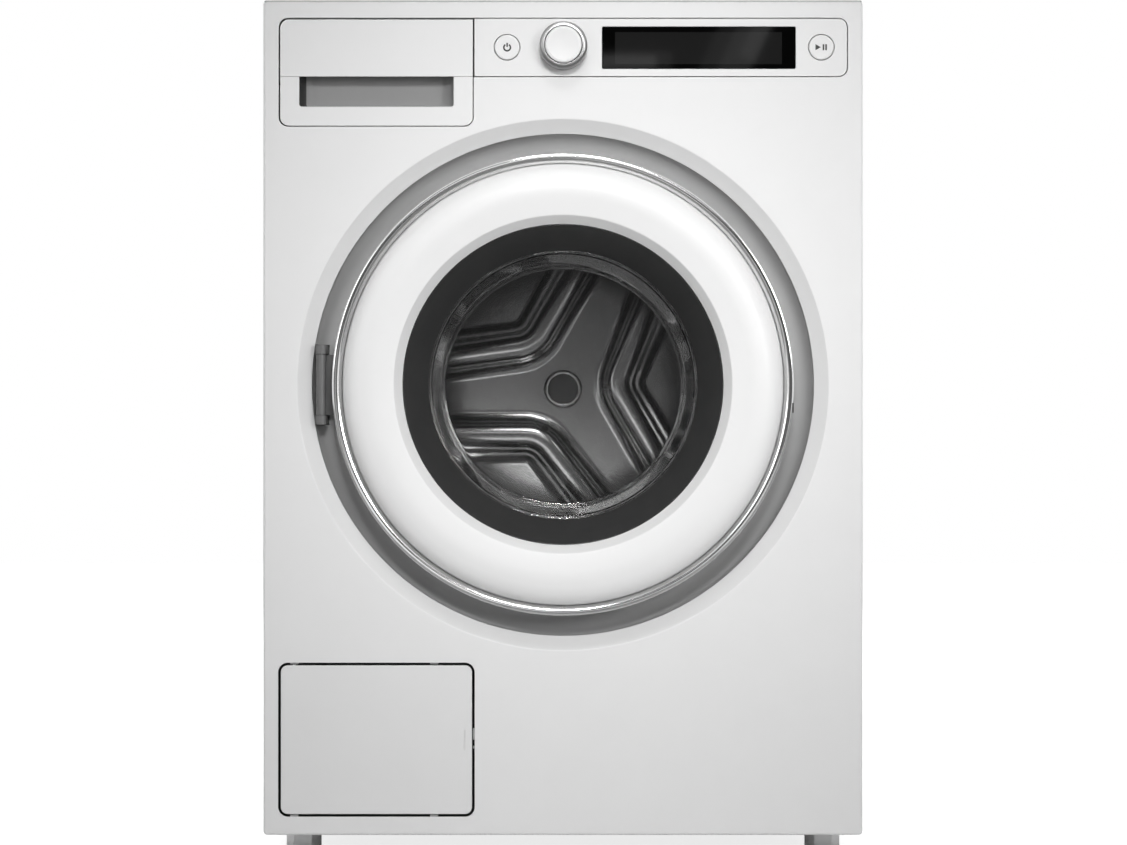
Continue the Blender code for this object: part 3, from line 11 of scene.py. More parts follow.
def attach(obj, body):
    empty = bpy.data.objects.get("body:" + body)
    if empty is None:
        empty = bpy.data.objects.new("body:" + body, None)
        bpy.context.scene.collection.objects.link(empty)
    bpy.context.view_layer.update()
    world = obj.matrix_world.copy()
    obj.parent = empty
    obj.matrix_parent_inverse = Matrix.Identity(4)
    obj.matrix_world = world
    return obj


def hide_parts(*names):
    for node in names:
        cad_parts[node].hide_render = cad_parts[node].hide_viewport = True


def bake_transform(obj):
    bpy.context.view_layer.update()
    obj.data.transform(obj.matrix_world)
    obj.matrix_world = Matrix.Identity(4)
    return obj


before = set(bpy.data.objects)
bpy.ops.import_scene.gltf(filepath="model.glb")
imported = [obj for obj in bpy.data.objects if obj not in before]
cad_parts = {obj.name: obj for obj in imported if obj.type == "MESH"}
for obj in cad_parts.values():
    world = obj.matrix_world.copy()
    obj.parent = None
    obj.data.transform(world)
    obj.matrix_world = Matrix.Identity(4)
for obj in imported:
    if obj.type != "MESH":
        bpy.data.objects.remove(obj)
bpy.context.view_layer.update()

nodes_left = dict(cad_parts)

# The solids' sizes, as in the part's source
half_width = 0.2975
front_y = -0.2815
rear_y = 0.3035
cabinet_height = 0.85
cabinet_depth = 0.585
body_top = 0.8479
underside = 0.0215
sheet = 0.0015
inner_half = 0.296
strip_top, strip_bottom = 0.8324, 0.7737
drawer_bottom, drawer_left, drawer_right = 0.7246, -0.2821, -0.0887
strip_right, strip_radius = 0.2826, 0.0095
button_height, button_radius = 0.8032, 0.0124
power_x, start_x = -0.0554, 0.2563
knob_x, knob_height, knob_radius, cap_radius = 0.0004, 0.8039, 0.0237, 0.0181
display_left, display_right, display_bottom, display_top = 0.0385, 0.231, 0.7817, 0.8239
pocket_left, pocket_right, pocket_bottom = -0.2616, -0.1086, 0.7444
drum_height, drum_inner, drum_rear, first_rib = 0.4685, 0.2304, 0.3985, 4
dish_radius, dish_inner, dish_depth = 0.2637, 0.2498, 0.009
hinge_x, lock_x, lock_height = -0.24, 0.196, 0.446
flap_left, flap_right, flap_bottom, flap_top = -0.2826, -0.0877, 0.0399, 0.1926
hinge_depth, pin_x, pin_depth, spring_x = 0.001, -0.267, 0.006, 0.262
inlet, gland = (-0.2, 0.782), (0.2, 0.75)

# Seams that are seen, gaps that aren't, how far a cutter reaches past what it cuts, and a hair's breadth
seam, gap, over, just = 0.0008, 0.0003, 0.01, 1e-5


def back(depth):
    """The Y of a depth behind the front."""
    return front_y + depth


# ---- Mesh helpers


def soft(points, closed=True, steps=6):
    """Rounds the corners of an outline given as (a, b) or (a, b, reach of the rounding)."""
    count = len(points)
    result = []
    for i, point in enumerate(points):
        reach = point[2] if len(point) > 2 else 0
        here = Vector(point[:2])
        if reach <= 0 or (not closed and i in (0, count - 1)):
            result.append(tuple(here))
            continue
        before = Vector(points[i - 1][:2]) - here
        after = Vector(points[(i + 1) % count][:2]) - here
        cut = min(reach, 0.49 * before.length, 0.49 * after.length)
        start, end = here + before.normalized() * cut, here + after.normalized() * cut
        for k in range(steps + 1):
            t = k / steps
            result.append(tuple(start * (1 - t) ** 2 + here * (2 * t * (1 - t)) + end * t**2))
    return result


def close_up(bm):
    """Joins doubled points and turns all faces outward."""
    bmesh.ops.remove_doubles(bm, verts=bm.verts, dist=1e-6)
    bmesh.ops.dissolve_degenerate(bm, dist=1e-7, edges=bm.edges)
    bmesh.ops.recalc_face_normals(bm, faces=bm.faces)
    return bm


def spun(profile, centre, axis, steps):
    """Turns an outline of (radius, place along the axis) about the Y or the Z axis through a centre."""
    bm = bmesh.new()
    cx, cy, cz = centre
    rings = []
    for k in range(steps):
        c, s = cos(tau * k / steps), sin(tau * k / steps)
        if axis == "y":
            rings.append([bm.verts.new((cx + r * c, d, cz + r * s)) for r, d in profile])
        else:
            rings.append([bm.verts.new((cx + r * c, cy + r * s, d)) for r, d in profile])
    count = len(profile)
    for k in range(steps):
        near, far = rings[k], rings[(k + 1) % steps]
        for i in range(count):
            j = (i + 1) % count
            bm.faces.new((near[i], far[i], far[j], near[j]))
    return close_up(bm)


def turned(profile, x=0.0, z=drum_height, steps=192):
    """A profile of (radius, depth), turned about an axis along Y."""
    return spun([(r, back(d)) for r, d in profile], (x, 0, z), "y", steps)


def upright(profile, x, depth, steps=48):
    """A profile of (radius, height), turned about an upright axis."""
    return spun(profile, (x, back(depth), 0), "z", steps)


def post(radius, z0, z1, x, depth, steps=48):
    """A round bar along Z."""
    return upright([(0, z0), (radius, z0), (radius, z1), (0, z1)], x, depth, steps)


def rod(radius, d0, d1, x, z, steps=48, edge=0.0):
    """A round bar along Y."""
    return turned(soft([(0, d0), (radius, d0, edge), (radius, d1, edge), (0, d1)]), x, z, steps)


def loft(sections):
    """A closed body through outlines with equal numbers of points."""
    bm = bmesh.new()
    rings = [[bm.verts.new(p) for p in section] for section in sections]
    count = len(rings[0])
    for near, far in zip(rings, rings[1:]):
        for i in range(count):
            j = (i + 1) % count
            bm.faces.new((near[i], near[j], far[j], far[i]))
    bm.faces.new(list(reversed(rings[0])))
    bm.faces.new(rings[-1])
    bmesh.ops.recalc_face_normals(bm, faces=bm.faces)
    return bm


def rounded(x0, x1, z0, z1, radii, inset=0.0, steps=10):
    """A rounded rectangle, counterclockwise from its lower left corner.

    It has one radius, or one for each corner; a radius of 0 is one point.
    """
    corners = [(x0, z0, 1, 1), (x1, z0, -1, 1), (x1, z1, -1, -1), (x0, z1, 1, -1)]
    radii = radii if isinstance(radii, list) else [radii] * 4
    points = []
    for k, ((x, z, sx, sz), radius) in enumerate(zip(corners, radii)):
        x, z = x + sx * inset, z + sz * inset
        r = max(radius - inset, 0) if radius else 0
        if not r:
            points.append((x, z))
            continue
        for i in range(steps + 1):
            a = pi + (k + i / steps) * pi / 2
            points.append((x + sx * r + r * cos(a), z + sz * r + r * sin(a)))
    return points


def layered(layers):
    """A closed body through outlines of (x, z), each given with its depth."""
    return loft([[(x, back(d), z) for x, z in outline] for d, outline in layers])


def stacked(layers):
    """A closed body through outlines of (x, y), each given with its height."""
    return loft([[(x, y, z) for x, y in outline] for z, outline in layers])


def slab(x0, x1, z0, z1, d0, d1, radii, front=0.0, rear=0.0, turns=4, steps=10):
    """A plate with rounded corners and quarter-round edges at its front and rear."""
    arc = [(1 - cos(k / turns * pi / 2), 1 - sin(k / turns * pi / 2)) for k in range(turns + 1)]
    layers = [(d0 + front * a, front * b) for a, b in arc] if front else [(d0, 0.0)]
    layers += [(d1 - rear * b, rear * a) for a, b in arc] if rear else [(d1, 0.0)]
    return layered([(d, rounded(x0, x1, z0, z1, radii, i, steps)) for d, i in layers])


def block(x0, x1, d0, d1, z0, z1):
    """A plate or bar with plain edges."""
    return slab(x0, x1, z0, z1, d0, d1, 0)


def flared(outline_at, d0, d1, flare=0.0005, lead=0.0006):
    """A cutter whose outline opens a little towards the front, for the soft edge of an opening."""
    layers = [(d0, -flare), (-just, -flare), (lead * 0.12, -flare * 0.55), (lead * 0.4, -flare * 0.2)]
    return layered([(d, outline_at(i)) for d, i in layers + [(lead, 0.0), (d1, 0.0)]])


def tube(points, radius, sides):
    """A round tube along a route, with a radius or a list of radii."""
    route = [Vector(p) for p in points]
    radii = radius if isinstance(radius, list) else [radius] * len(route)
    rings = []
    normal = (route[1] - route[0]).normalized().orthogonal().normalized()
    for i, p in enumerate(route):
        along = (route[min(i + 1, len(route) - 1)] - route[max(i - 1, 0)]).normalized()
        normal = (normal - along * normal.dot(along)).normalized()
        side = along.cross(normal)
        turns = [tau * k / sides for k in range(sides)]
        rings.append([p + (normal * cos(a) + side * sin(a)) * radii[i] for a in turns])
    return loft(rings)


def plain(name, bm):
    """A new object that has no finish yet."""
    mesh = bpy.data.meshes.new(name)
    bm.to_mesh(mesh)
    bm.free()
    obj = bpy.data.objects.new(name, mesh)
    bpy.context.scene.collection.objects.link(obj)
    return obj


def combine(target, bm, operation="DIFFERENCE", solver="EXACT"):
    """Cuts or joins a mesh and keeps the result."""
    tool = plain("tool", bm) if isinstance(bm, bmesh.types.BMesh) else bm
    modifier = target.modifiers.new("combine", "BOOLEAN")
    modifier.object, modifier.operation, modifier.solver = tool, operation, solver
    bpy.context.view_layer.update()
    made = bpy.data.meshes.new_from_object(target.evaluated_get(bpy.context.evaluated_depsgraph_get()))
    target.modifiers.clear()
    old, target.data = target.data, made
    bpy.data.meshes.remove(old)
    old = tool.data
    bpy.data.objects.remove(tool)
    bpy.data.meshes.remove(old)


def shade(obj, angle=32):
    """Smooth faces with sharp edges where two faces meet at more than an angle."""
    bm = bmesh.new()
    bm.from_mesh(obj.data)
    bmesh.ops.remove_doubles(bm, verts=bm.verts, dist=2e-7)
    limit = radians(angle)
    for face in bm.faces:
        face.smooth = True
    for edge in bm.edges:
        edge.smooth = len(edge.link_faces) == 2 and edge.calc_face_angle(0.0) < limit
    bm.to_mesh(obj.data)
    bm.free()


def piece(
    name, bm, look, body, replaced=(), cuts=(), joins=(), angle=32, flat=False, solver="EXACT"
):
    """A finished piece that rides on a body; flat keeps large plane faces even in tone."""
    obj = bm if isinstance(bm, bpy.types.Object) else plain(name, bm)
    obj.name = name
    for tool in joins:
        combine(obj, tool, "UNION", solver)
    for tool in cuts:
        combine(obj, tool, "DIFFERENCE", solver)
    shade(obj, angle)
    obj.data.materials.clear()
    obj.data.materials.append(looks[look])
    if flat:
        weighted = obj.modifiers.new("even", "WEIGHTED_NORMAL")
        weighted.keep_sharp = True
    if body:
        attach(obj, body)
    if replaced:
        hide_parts(*replaced)
        for solid in replaced:
            nodes_left.pop(solid, None)
    return obj


def tint(obj, look, chosen):
    """Adds a finish to a piece, for the faces that a test picks."""
    obj.data.materials.append(looks[look])
    for face in obj.data.polygons:
        if chosen(face):
            face.material_index = len(obj.data.materials) - 1


def screw(name, body, x, z, radius, d0, d1, groove, reach):
    """A screw head with a cross groove in its rear."""
    half = 0.0005
    cross = [
        block(x - a, x + a, d1 - groove, d1 + 2 * groove, z - b, z + b)
        for a, b in ((reach, half), (half, reach))
    ]
    piece(name, rod(radius, d0, d1, x, z, 32, 0.001), "zinc", body, cuts=cross)


# ---- Materials

looks = {}


def node(nodes, kind, **values):
    """A new shader node with values for its inputs."""
    made = nodes.new("ShaderNode" + kind)
    for name, value in values.items():
        made.inputs[name].default_value = value
    return made


def look(
    name, tone, rough, slot=None, metal=0.0, speck=0.02, scale=30.0, rough_speck=0.04, grain=1300.0,
    bump=0.2, depth=2e-5, stretch=(1, 1, 1), specular=0.5,
):
    """A procedural finish: a faint cloud in its colour, and a fine grain in its gloss and its relief."""
    material = bpy.data.materials.new(name)
    material.use_nodes = True
    nodes, links = material.node_tree.nodes, material.node_tree.links
    shader = nodes["Principled BSDF"]
    color = tone if isinstance(tone, tuple) else (tone, tone, tone)
    place = node(nodes, "TexCoord")
    mapping = node(nodes, "Mapping", Scale=stretch)
    cloud = node(nodes, "TexNoise", Scale=scale, Detail=4)
    fine = node(nodes, "TexNoise", Scale=grain, Detail=2)
    ramp = node(nodes, "ValToRGB")
    for element, place_at, share in zip(ramp.color_ramp.elements, (0.3, 0.7), (1 - speck, 1 + speck)):
        element.position = place_at
        element.color = (*(min(c * share, 1.0) for c in color), 1)
    spread = node(nodes, "MapRange")
    spread.inputs["To Min"].default_value = max(rough - rough_speck, 0.01)
    spread.inputs["To Max"].default_value = rough + rough_speck
    relief = node(nodes, "Bump", Strength=bump, Distance=depth)
    for start, out, end, into in (
        (place, "Object", mapping, "Vector"), (mapping, "Vector", cloud, "Vector"),
        (mapping, "Vector", fine, "Vector"), (cloud, "Fac", ramp, "Fac"),
        (ramp, "Color", shader, "Base Color"), (fine, "Fac", spread, "Value"),
        (spread, "Result", shader, "Roughness"), (fine, "Fac", relief, "Height"),
        (relief, "Normal", shader, "Normal"),
    ):
        links.new(start.outputs[out], end.inputs[into])
    shader.inputs["Metallic"].default_value = metal
    shader.inputs["Specular IOR Level"].default_value = specular
    looks[name] = material
    return material


look("enamel", 0.83, 0.36, "white_enamel", speck=0.006, grain=420, bump=0.1, depth=4e-5)
look("laminate", 0.82, 0.42, "white_laminate", speck=0.006, grain=900)
# The lid's side faces: the laminate made grey, a painted shade
look("lid_edge_painted_shade", 0.55, 0.5, "white_laminate", speck=0.006, grain=900)
look("white_shell", 0.84, 0.38, "white_plastic", speck=0.005, grain=1500, bump=0.08)
look("grey_moulded", 0.27, 0.5, "grey_plastic", speck=0.03, grain=1200, bump=0.35, depth=4e-5)
look("pale_moulded", 0.62, 0.45, "white_plastic", speck=0.01)
look("cove", 0.4, 0.42, "dark_plastic", metal=0.15, speck=0.03, scale=18, grain=1400, bump=0.15)
look("dark_moulded", 0.035, 0.42, "dark_plastic", speck=0.04, grain=1200, bump=0.35, depth=4e-5)
# recess: the service recess's dark plastic; on the drawer pocket's left end it is a painted shadow
look("recess", 0.035, 0.5, "grey_plastic", speck=0.04)
# pocket: the drawer front's white plastic made mid grey inside the grip pocket, a painted shade
look("pocket", 0.31, 0.5, "white_plastic")
# The dish's slope: the front's enamel made darker, a painted shade
look("dish_painted_shade", 0.76, 0.45, "white_enamel", speck=0.006, grain=420, bump=0.1, depth=4e-5)
look("foot", 0.92, 0.38, "grey_plastic", metal=0.3, speck=0.04, grain=1200, bump=0.3, depth=4e-5)
look("enamel_flap", 0.8, 0.38, "white_plastic", speck=0.006, grain=420, bump=0.1, depth=4e-5)
look("tab", 0.5, 0.45, "grey_plastic")
look("cone_gloss", 0.04, 0.2, "black_gloss", speck=0.05, rough_speck=0.03, grain=600, bump=0.02)
look(
    "display_gloss", 0.0015, 0.035, "black_gloss", speck=0.05, rough_speck=0.01, grain=300, bump=0.01,
    specular=0.05,
)
look(
    "display_screen", 0.0135, 0.035, "black_gloss", speck=0.03, rough_speck=0.01, grain=2500, bump=0.03,
    specular=0.05,
)
look("print", 0.012, 0.5, "black_gloss", speck=0.1, grain=3000, bump=0.1)
look("chrome", 0.72, 0.09, "chrome", metal=1.0, speck=0.01, rough_speck=0.03, grain=900, bump=0.02)
look("hub_chrome", 0.5, 0.2, "chrome", metal=1.0, grain=900, bump=0.04)
look("hub_face", 0.085, 0.3, "chrome", metal=0.8, speck=0.03, grain=900, bump=0.05)
look("knob_metal", 0.3, 0.3, "aluminium", metal=1.0, grain=2200, bump=0.1)
look(
    "drum_steel", 0.42, 0.13, "steel", metal=1.0, speck=0.03, scale=14, rough_speck=0.05, grain=700,
    bump=0.05, depth=3e-5,
)
look(
    "steel_wire", 0.55, 0.3, "steel", metal=1.0, speck=0.03, rough_speck=0.06, grain=1500, bump=0.1,
    stretch=(1, 1, 0.1),
)
look("hinge_grey", 0.135, 0.42, "zinc", metal=0.15, speck=0.04, scale=60, grain=900, bump=0.15)
look("zinc", 0.5, 0.42, "zinc", metal=0.9, speck=0.12, scale=160, rough_speck=0.1, grain=900, bump=0.1)
look("cast_metal", 0.5, 0.48, "aluminium", metal=0.9, speck=0.06, scale=90, grain=1400, bump=0.5, depth=6e-5)
look("rubber_grey", 0.13, 0.62, "rubber", speck=0.05, grain=1800, bump=0.3, depth=4e-5)
look("rubber_dark", 0.03, 0.6, "rubber", speck=0.08, grain=1800, bump=0.35, depth=4e-5)
look("concrete", 0.36, 0.85, "concrete", speck=0.22, scale=120, grain=900, bump=0.8, depth=4e-4)
look("board_green", (0.03, 0.11, 0.05), 0.35, "circuit_board", speck=0.2, scale=320, grain=900)


def clear_glass():
    """Clear glass that lets lamp light through, with a faint unevenness in its gloss."""
    material = look("glass", 0.94, 0.012, "glass", speck=0.01, rough_speck=0.008, grain=60, bump=0.0)
    nodes, links = material.node_tree.nodes, material.node_tree.links
    shader = nodes["Principled BSDF"]
    shader.inputs["Transmission Weight"].default_value = 1.0
    shader.inputs["IOR"].default_value = 1.5
    path, clear, mix = node(nodes, "LightPath"), node(nodes, "BsdfTransparent"), node(nodes, "MixShader")
    links.new(path.outputs["Is Shadow Ray"], mix.inputs["Fac"])
    links.new(shader.outputs["BSDF"], mix.inputs[1])
    links.new(clear.outputs["BSDF"], mix.inputs[2])
    links.new(mix.outputs["Shader"], nodes["Material Output"].inputs["Surface"])


clear_glass()


# ---- Cabinet


def strip_outline(inset):
    """The opening of the drawer and the fascia in one outline."""
    arc = 11
    low = rounded(
        drawer_left, drawer_right, drawer_bottom, strip_top,
        [strip_radius, strip_radius, 0, strip_radius], inset,
    )
    high = rounded(
        drawer_right - 2 * inset, strip_right, strip_bottom, strip_top,
        [0, strip_radius, strip_radius, 0], inset,
    )
    return low[: 2 * arc] + high[: 2 * arc + 1] + low[2 * arc + 1 :]


def front_sheet():
    """The pressed front: rolled rim of the dish, and soft openings for strip and flap."""
    flange, edge, roll = 0.014, 0.0028, 0.001
    slope = (dish_radius - dish_inner) / dish_depth
    hollow = plain(
        "hollow", block(-inner_half, inner_half, sheet, flange + over, underside + sheet, body_top - sheet)
    )
    behind = dish_depth + 0.002
    rise = dish_radius + sheet + slope * over
    combine(hollow, turned([(0, -over), (rise, -over), (dish_inner + sheet, behind), (0, behind)]))
    sheet_front = plain(
        "front_sheet",
        slab(-half_width, half_width, underside, body_top + 0.002, 0, flange, 0.004, edge, turns=6),
    )
    combine(sheet_front, hollow)
    run = Vector((-(dish_radius - dish_inner), dish_depth)).normalized()
    rim = [
        (dish_radius + roll * (1 - t) ** 2 + run.x * roll * t**2, run.y * roll * t**2)
        for t in (0.2, 0.4, 0.6, 0.8, 1.0)
    ]
    dish = [(0, -over), (dish_radius + roll, -over), (dish_radius + roll, -just)] + rim
    dish += [(dish_inner, dish_depth), (dish_inner, dish_depth + over), (0, dish_depth + over)]
    obj = piece(
        "front_sheet", sheet_front, "enamel", "cabinet", ["front_panel"], flat=True, solver="MANIFOLD",
        cuts=[
            turned(dish, steps=256),
            block(-half_width - over, half_width + over, -over, flange + over, body_top, body_top + over),
            flared(strip_outline, -over, flange + over),
            flared(
                lambda i: rounded(flap_left, flap_right, flap_bottom, flap_top, strip_radius, i),
                -over, flange + over,
            ),
        ],
    )

    def in_dish(face):
        c = face.center
        reach = hypot(c.x, c.z - drum_height)
        return dish_inner - 0.0002 < reach < dish_radius and c.y > front_y + 0.0002

    # The dish's slope gets the darker copy of the enamel: painted shade
    tint(obj, "dish_painted_shade", in_dish)


def lid():
    """The lid's thin rim over the sheets, with softened edges, and the board between them."""
    low, high, edge = body_top + gap, cabinet_height, 0.0008
    layers = [
        (z, rounded(-half_width + inset, half_width - inset, back(front), rear_y - inset, 0.004, 0, 6))
        for z, inset, front in (
            (low - 0.015, 0.0035, 0.0155), (low, 0.0035, 0.0155), (low, 0.0012, 0.0012),
            (low + 0.0003, 0.0009, 0.0009), (low + 0.0006, edge, edge), (high - 0.0005, edge, edge),
            (high - 0.0002, 0.0009, 0.0009), (high, 0.0012, 0.0012),
        )
    ]
    obj = piece("lid", stacked(layers), "laminate", "cabinet", ["top_panel"], flat=True)
    # Faces that don't face up or down get the grey copy of the laminate: painted shade
    tint(obj, "lid_edge_painted_shade", lambda face: abs(face.normal.z) < 0.9 and face.center.z > low)


def wrapper():
    """Sides and back in one bent sheet, with a shallow pressed field in each side."""
    start, bend, steps = 0.0143, 0.004, 8
    outer, inner = [], []
    for side in (-1, 1):
        for radius, route in ((bend, outer), (bend - sheet, inner)):
            turns = [i / steps * pi / 2 for i in range(steps + 1)]
            route += [
                (side * (half_width - bend + radius * cos(a)), rear_y - bend + radius * sin(a))
                for a in turns[::-side]
            ]
    loop = [(-half_width, back(start))] + outer + [(half_width, back(start))]
    loop += [(half_width - sheet, back(start))] + inner[::-1] + [(-half_width + sheet, back(start))]
    shell = plain("wrapper", stacked([(z, loop) for z in (underside, body_top)]))

    press, reach = 0.0022, 0.004
    field = (back(0.075), back(0.515), 0.105, 0.7, 0.05)
    for side in (-1, 1):
        for grow, operation in ((sheet, "UNION"), (0.0, "DIFFERENCE")):
            if operation == "UNION":
                walls = [(half_width - sheet / 2, 1.0)] * 2
            else:
                walls = [(half_width + 0.004, 1.0), (half_width, 1.0)]
            walls += [
                (half_width - (press + grow) * step, share)
                for step, share in ((0.35, 0.9), (0.7, 0.35), (1.0, 0.0))
            ]
            layers = [
                [(side * x, y, z) for y, z in rounded(*field, -grow - reach * share)] for x, share in walls
            ]
            combine(shell, loft(layers), operation)

    through = (cabinet_depth - over, cabinet_depth + over)
    rear = [
        slab(-0.195, 0.195, 0.105, 0.7, *through, 0.04),
        rod(0.0135, *through, *inlet),
        rod(0.0095, *through, *gland),
    ]
    shelves = []
    for side in (-1, 1):
        x0, x1 = sorted((side * (spring_x - 0.017), side * (inner_half + sheet / 2)))
        shelves.append(block(x0, x1, 0.328, 0.362, 0.8062, 0.8092))
    piece("wrapper", shell, "enamel", "cabinet", ["cabinet_wrapper"], cuts=rear, joins=shelves, flat=True)


def rear_panel():
    """The rear cover with its raised round field, pressed ribs, vents and screws."""
    d = cabinet_depth + gap
    root, low, high = cabinet_depth + sheet, cabinet_depth + 0.006, cabinet_depth + 0.008
    cover = slab(-0.207, 0.207, 0.093, 0.712, d, d + 0.003, 0.052, rear=0.001)
    boss = [
        (0, root), (0.15, root, 0.003), (0.145, high, 0.003), (0.118, high, 0.002),
        (0.114, low, 0.002), (0.046, low, 0.002), (0.042, high, 0.002), (0, high),
    ]
    vents = [
        slab(-0.075, 0.075, z, z + 0.004, d - 0.01, d + 0.02, 0.0019)
        for z in (0.625 + row * 0.01 for row in range(7))
    ]
    ribs = [
        slab(x - 0.006, x + 0.006, 0.15, 0.655, d + 0.002, d + 0.0046, 0.0059, rear=0.0015)
        for x in (-0.176, 0.176)
    ]
    piece(
        "rear_panel", cover, "grey_moulded", "cabinet", ["rear_cover"],
        joins=[turned(soft(boss), steps=128)] + ribs, cuts=vents, flat=True,
    )
    places = [(side * 0.196, z) for side in (-1, 1) for z in (0.15, 0.3, 0.5, 0.655)]
    places += [(side * 0.15, z) for side in (-1, 1) for z in (0.1015, 0.7035)]
    for k, (x, z) in enumerate(places):
        screw(f"rear_screw_{k}", "cabinet", x, z, 0.0042, d + 0.0026, d + 0.0052, 0.001, 0.0026)


def feet():
    """Hexagonal feet with softened edges on threaded studs."""
    names = ["foot_front_left", "foot_front_right", "foot_rear_left", "foot_rear_right"]
    places = [(x, d) for d in (0.066, 0.54) for x in (-0.2624, 0.2624)]
    top = underside - gap
    widths = (
        (0, 0.0152), (0.0005, 0.016), (0.0022, 0.0176), (0.003, 0.018),
        (top - 0.0022, 0.018), (top - 0.0008, 0.0174), (top, 0.016),
    )
    crest, root, pitch = 0.0048, 0.0042, 0.0015
    for name, (x, depth) in zip(names, places):
        layers = []
        for z, r in widths:
            corners = [(r * cos(k * pi / 3), r * sin(k * pi / 3), 0.0012) for k in range(6)]
            layers.append((z, [(x + a, back(depth) + b) for a, b in soft(corners, steps=4)]))
        profile = [(0, 0.002), (crest, 0.002)]
        z = top - 0.0005
        while z < 0.0555:
            profile += [(crest, z), (root, z + pitch / 2)]
            z += pitch
        profile += [(0.004, 0.0563), (0, 0.0565)]
        piece(name + "_hex", stacked(layers), "foot", name, [name])
        piece(name + "_stud", upright(profile, x, depth, 24), "zinc", name)


# ---- Control strip and drawer


def fascia():
    """The fascia with openings for the window, the knob's stem and the two buttons."""
    left, right = drawer_right + seam, strip_right - seam
    low, high = strip_bottom + seam, strip_top - seam
    r, wall = strip_radius - seam, 0.002
    panel = slab(left, right, low, high, 0, 0.015, [0, r, r, 0], 0.0005)
    cuts = [
        slab(left + wall, right - wall, low + wall, high - wall, 0.003, 0.025, [0, 0.0065, 0.0065, 0]),
        flared(
            lambda i: rounded(display_left, display_right, display_bottom, display_top, 0.0018, i, 5),
            -over, 0.0022, 0.0002, 0.0003,
        ),
        rod(0.0033, -over, over, knob_x, knob_height),
    ]
    wide, narrow = button_radius + 0.001, button_radius + 0.0008
    groove = [(0, -over), (wide, -over), (wide, -just), (narrow, 0.0002), (narrow, over), (0, over)]
    cuts += [turned(groove, x, button_height, 96) for x in (power_x, start_x)]
    piece("fascia", panel, "enamel", "cabinet", ["control_panel"], cuts=cuts, flat=True)

    glass = slab(
        display_left + gap, display_right - gap, display_bottom + gap, display_top - gap,
        0, 0.0019, 0.0015, 0.00025, steps=5,
    )
    x0, x1, z0, z1, sunk, r = 0.0516, 0.2172, 0.7865, 0.8183, 0.0002, 0.0008
    piece(
        "display_glass", glass, "display_gloss", "cabinet", ["display_window"], flat=True,
        cuts=[slab(x0, x1, z0, z1, -over, sunk, r, steps=4)],
    )
    e = 2 * just
    piece(
        "display_screen", slab(x0 + e, x1 - e, z0 + e, z1 - e, e, sunk - e, r, steps=4),
        "display_screen", "cabinet", flat=True,
    )


def buttons():
    """The two buttons with their raised symbols: power, and play with pause."""
    r = button_radius
    profile = [
        (0, -0.001), (0.006, -0.00105), (r - 0.0012, -0.0012, 0.0006), (r - 0.0002, -0.0008, 0.0003),
        (r, -0.0002, 0.0003), (r, 0.0055), (r + 0.002, 0.0055), (r + 0.002, 0.0075), (0, 0.0075),
    ]
    for name, x in (("power_button", power_x), ("start_button", start_x)):
        piece(name + "_cap", turned(soft(profile), x, button_height, 96), "white_shell", name, [name])

    line, front, rear = 0.0008, -0.00112, -0.00095

    def symbol(name, body, outline, bars):
        mark = plain("mark", layered([(d, outline) for d in (front, rear)]))
        for x, low, high in bars:
            bar = block(x - line, x + line, front, rear, button_height + low, button_height + high)
            combine(mark, bar, "UNION")
        piece(name, mark, "print", body)

    r, drop, opening, steps = 0.0033, 0.0003, 64, 32
    turns = [radians(90 + opening / 2 + (360 - opening) * k / steps) for k in range(steps + 1)]
    arc = [
        (power_x + reach * cos(a), button_height - drop + reach * sin(a))
        for reach, way in ((r + line, turns), (r - line, turns[::-1]))
        for a in way
    ]
    symbol("power_symbol", "power_button", arc, [(power_x, drop, 0.0043)])
    half = 0.003
    play = [(start_x + x, button_height + z) for x, z in ((-0.0059, -half), (-0.0006, 0), (-0.0059, half))]
    bars = [(start_x + x, -half, half) for x in (0.002, 0.0046)]
    symbol("start_symbol", "start_button", play, bars)


def knob():
    """The knob: a metal ring round a slightly hollow white cap."""
    ring = [
        (cap_radius + gap, -0.0172, 0.0002), (cap_radius + 0.0009, -0.0178, 0.0005),
        (knob_radius - 0.0022, -0.0176, 0.001), (knob_radius - 0.0005, -0.0162, 0.001),
        (knob_radius, -0.014, 0.002), (knob_radius, -0.0015, 0.0008), (knob_radius - 0.0008, -0.0005),
        (cap_radius + gap, -0.0005),
    ]
    collar = turned(soft(ring), knob_x, knob_height, 128)
    piece("knob_collar", collar, "knob_metal", "program_knob", ["knob_ring"])
    cap = [
        (0, -0.0198), (0.01, -0.0199), (cap_radius - 0.0022, -0.0204, 0.0012),
        (cap_radius - 0.0004, -0.02, 0.0005), (cap_radius, -0.019, 0.0006), (cap_radius, -0.004),
        (0.003, -0.004), (0.003, 0.0055), (0, 0.0055),
    ]
    face = turned(soft(cap), knob_x, knob_height, 128)
    piece("knob_face", face, "white_shell", "program_knob", ["knob_cap"])


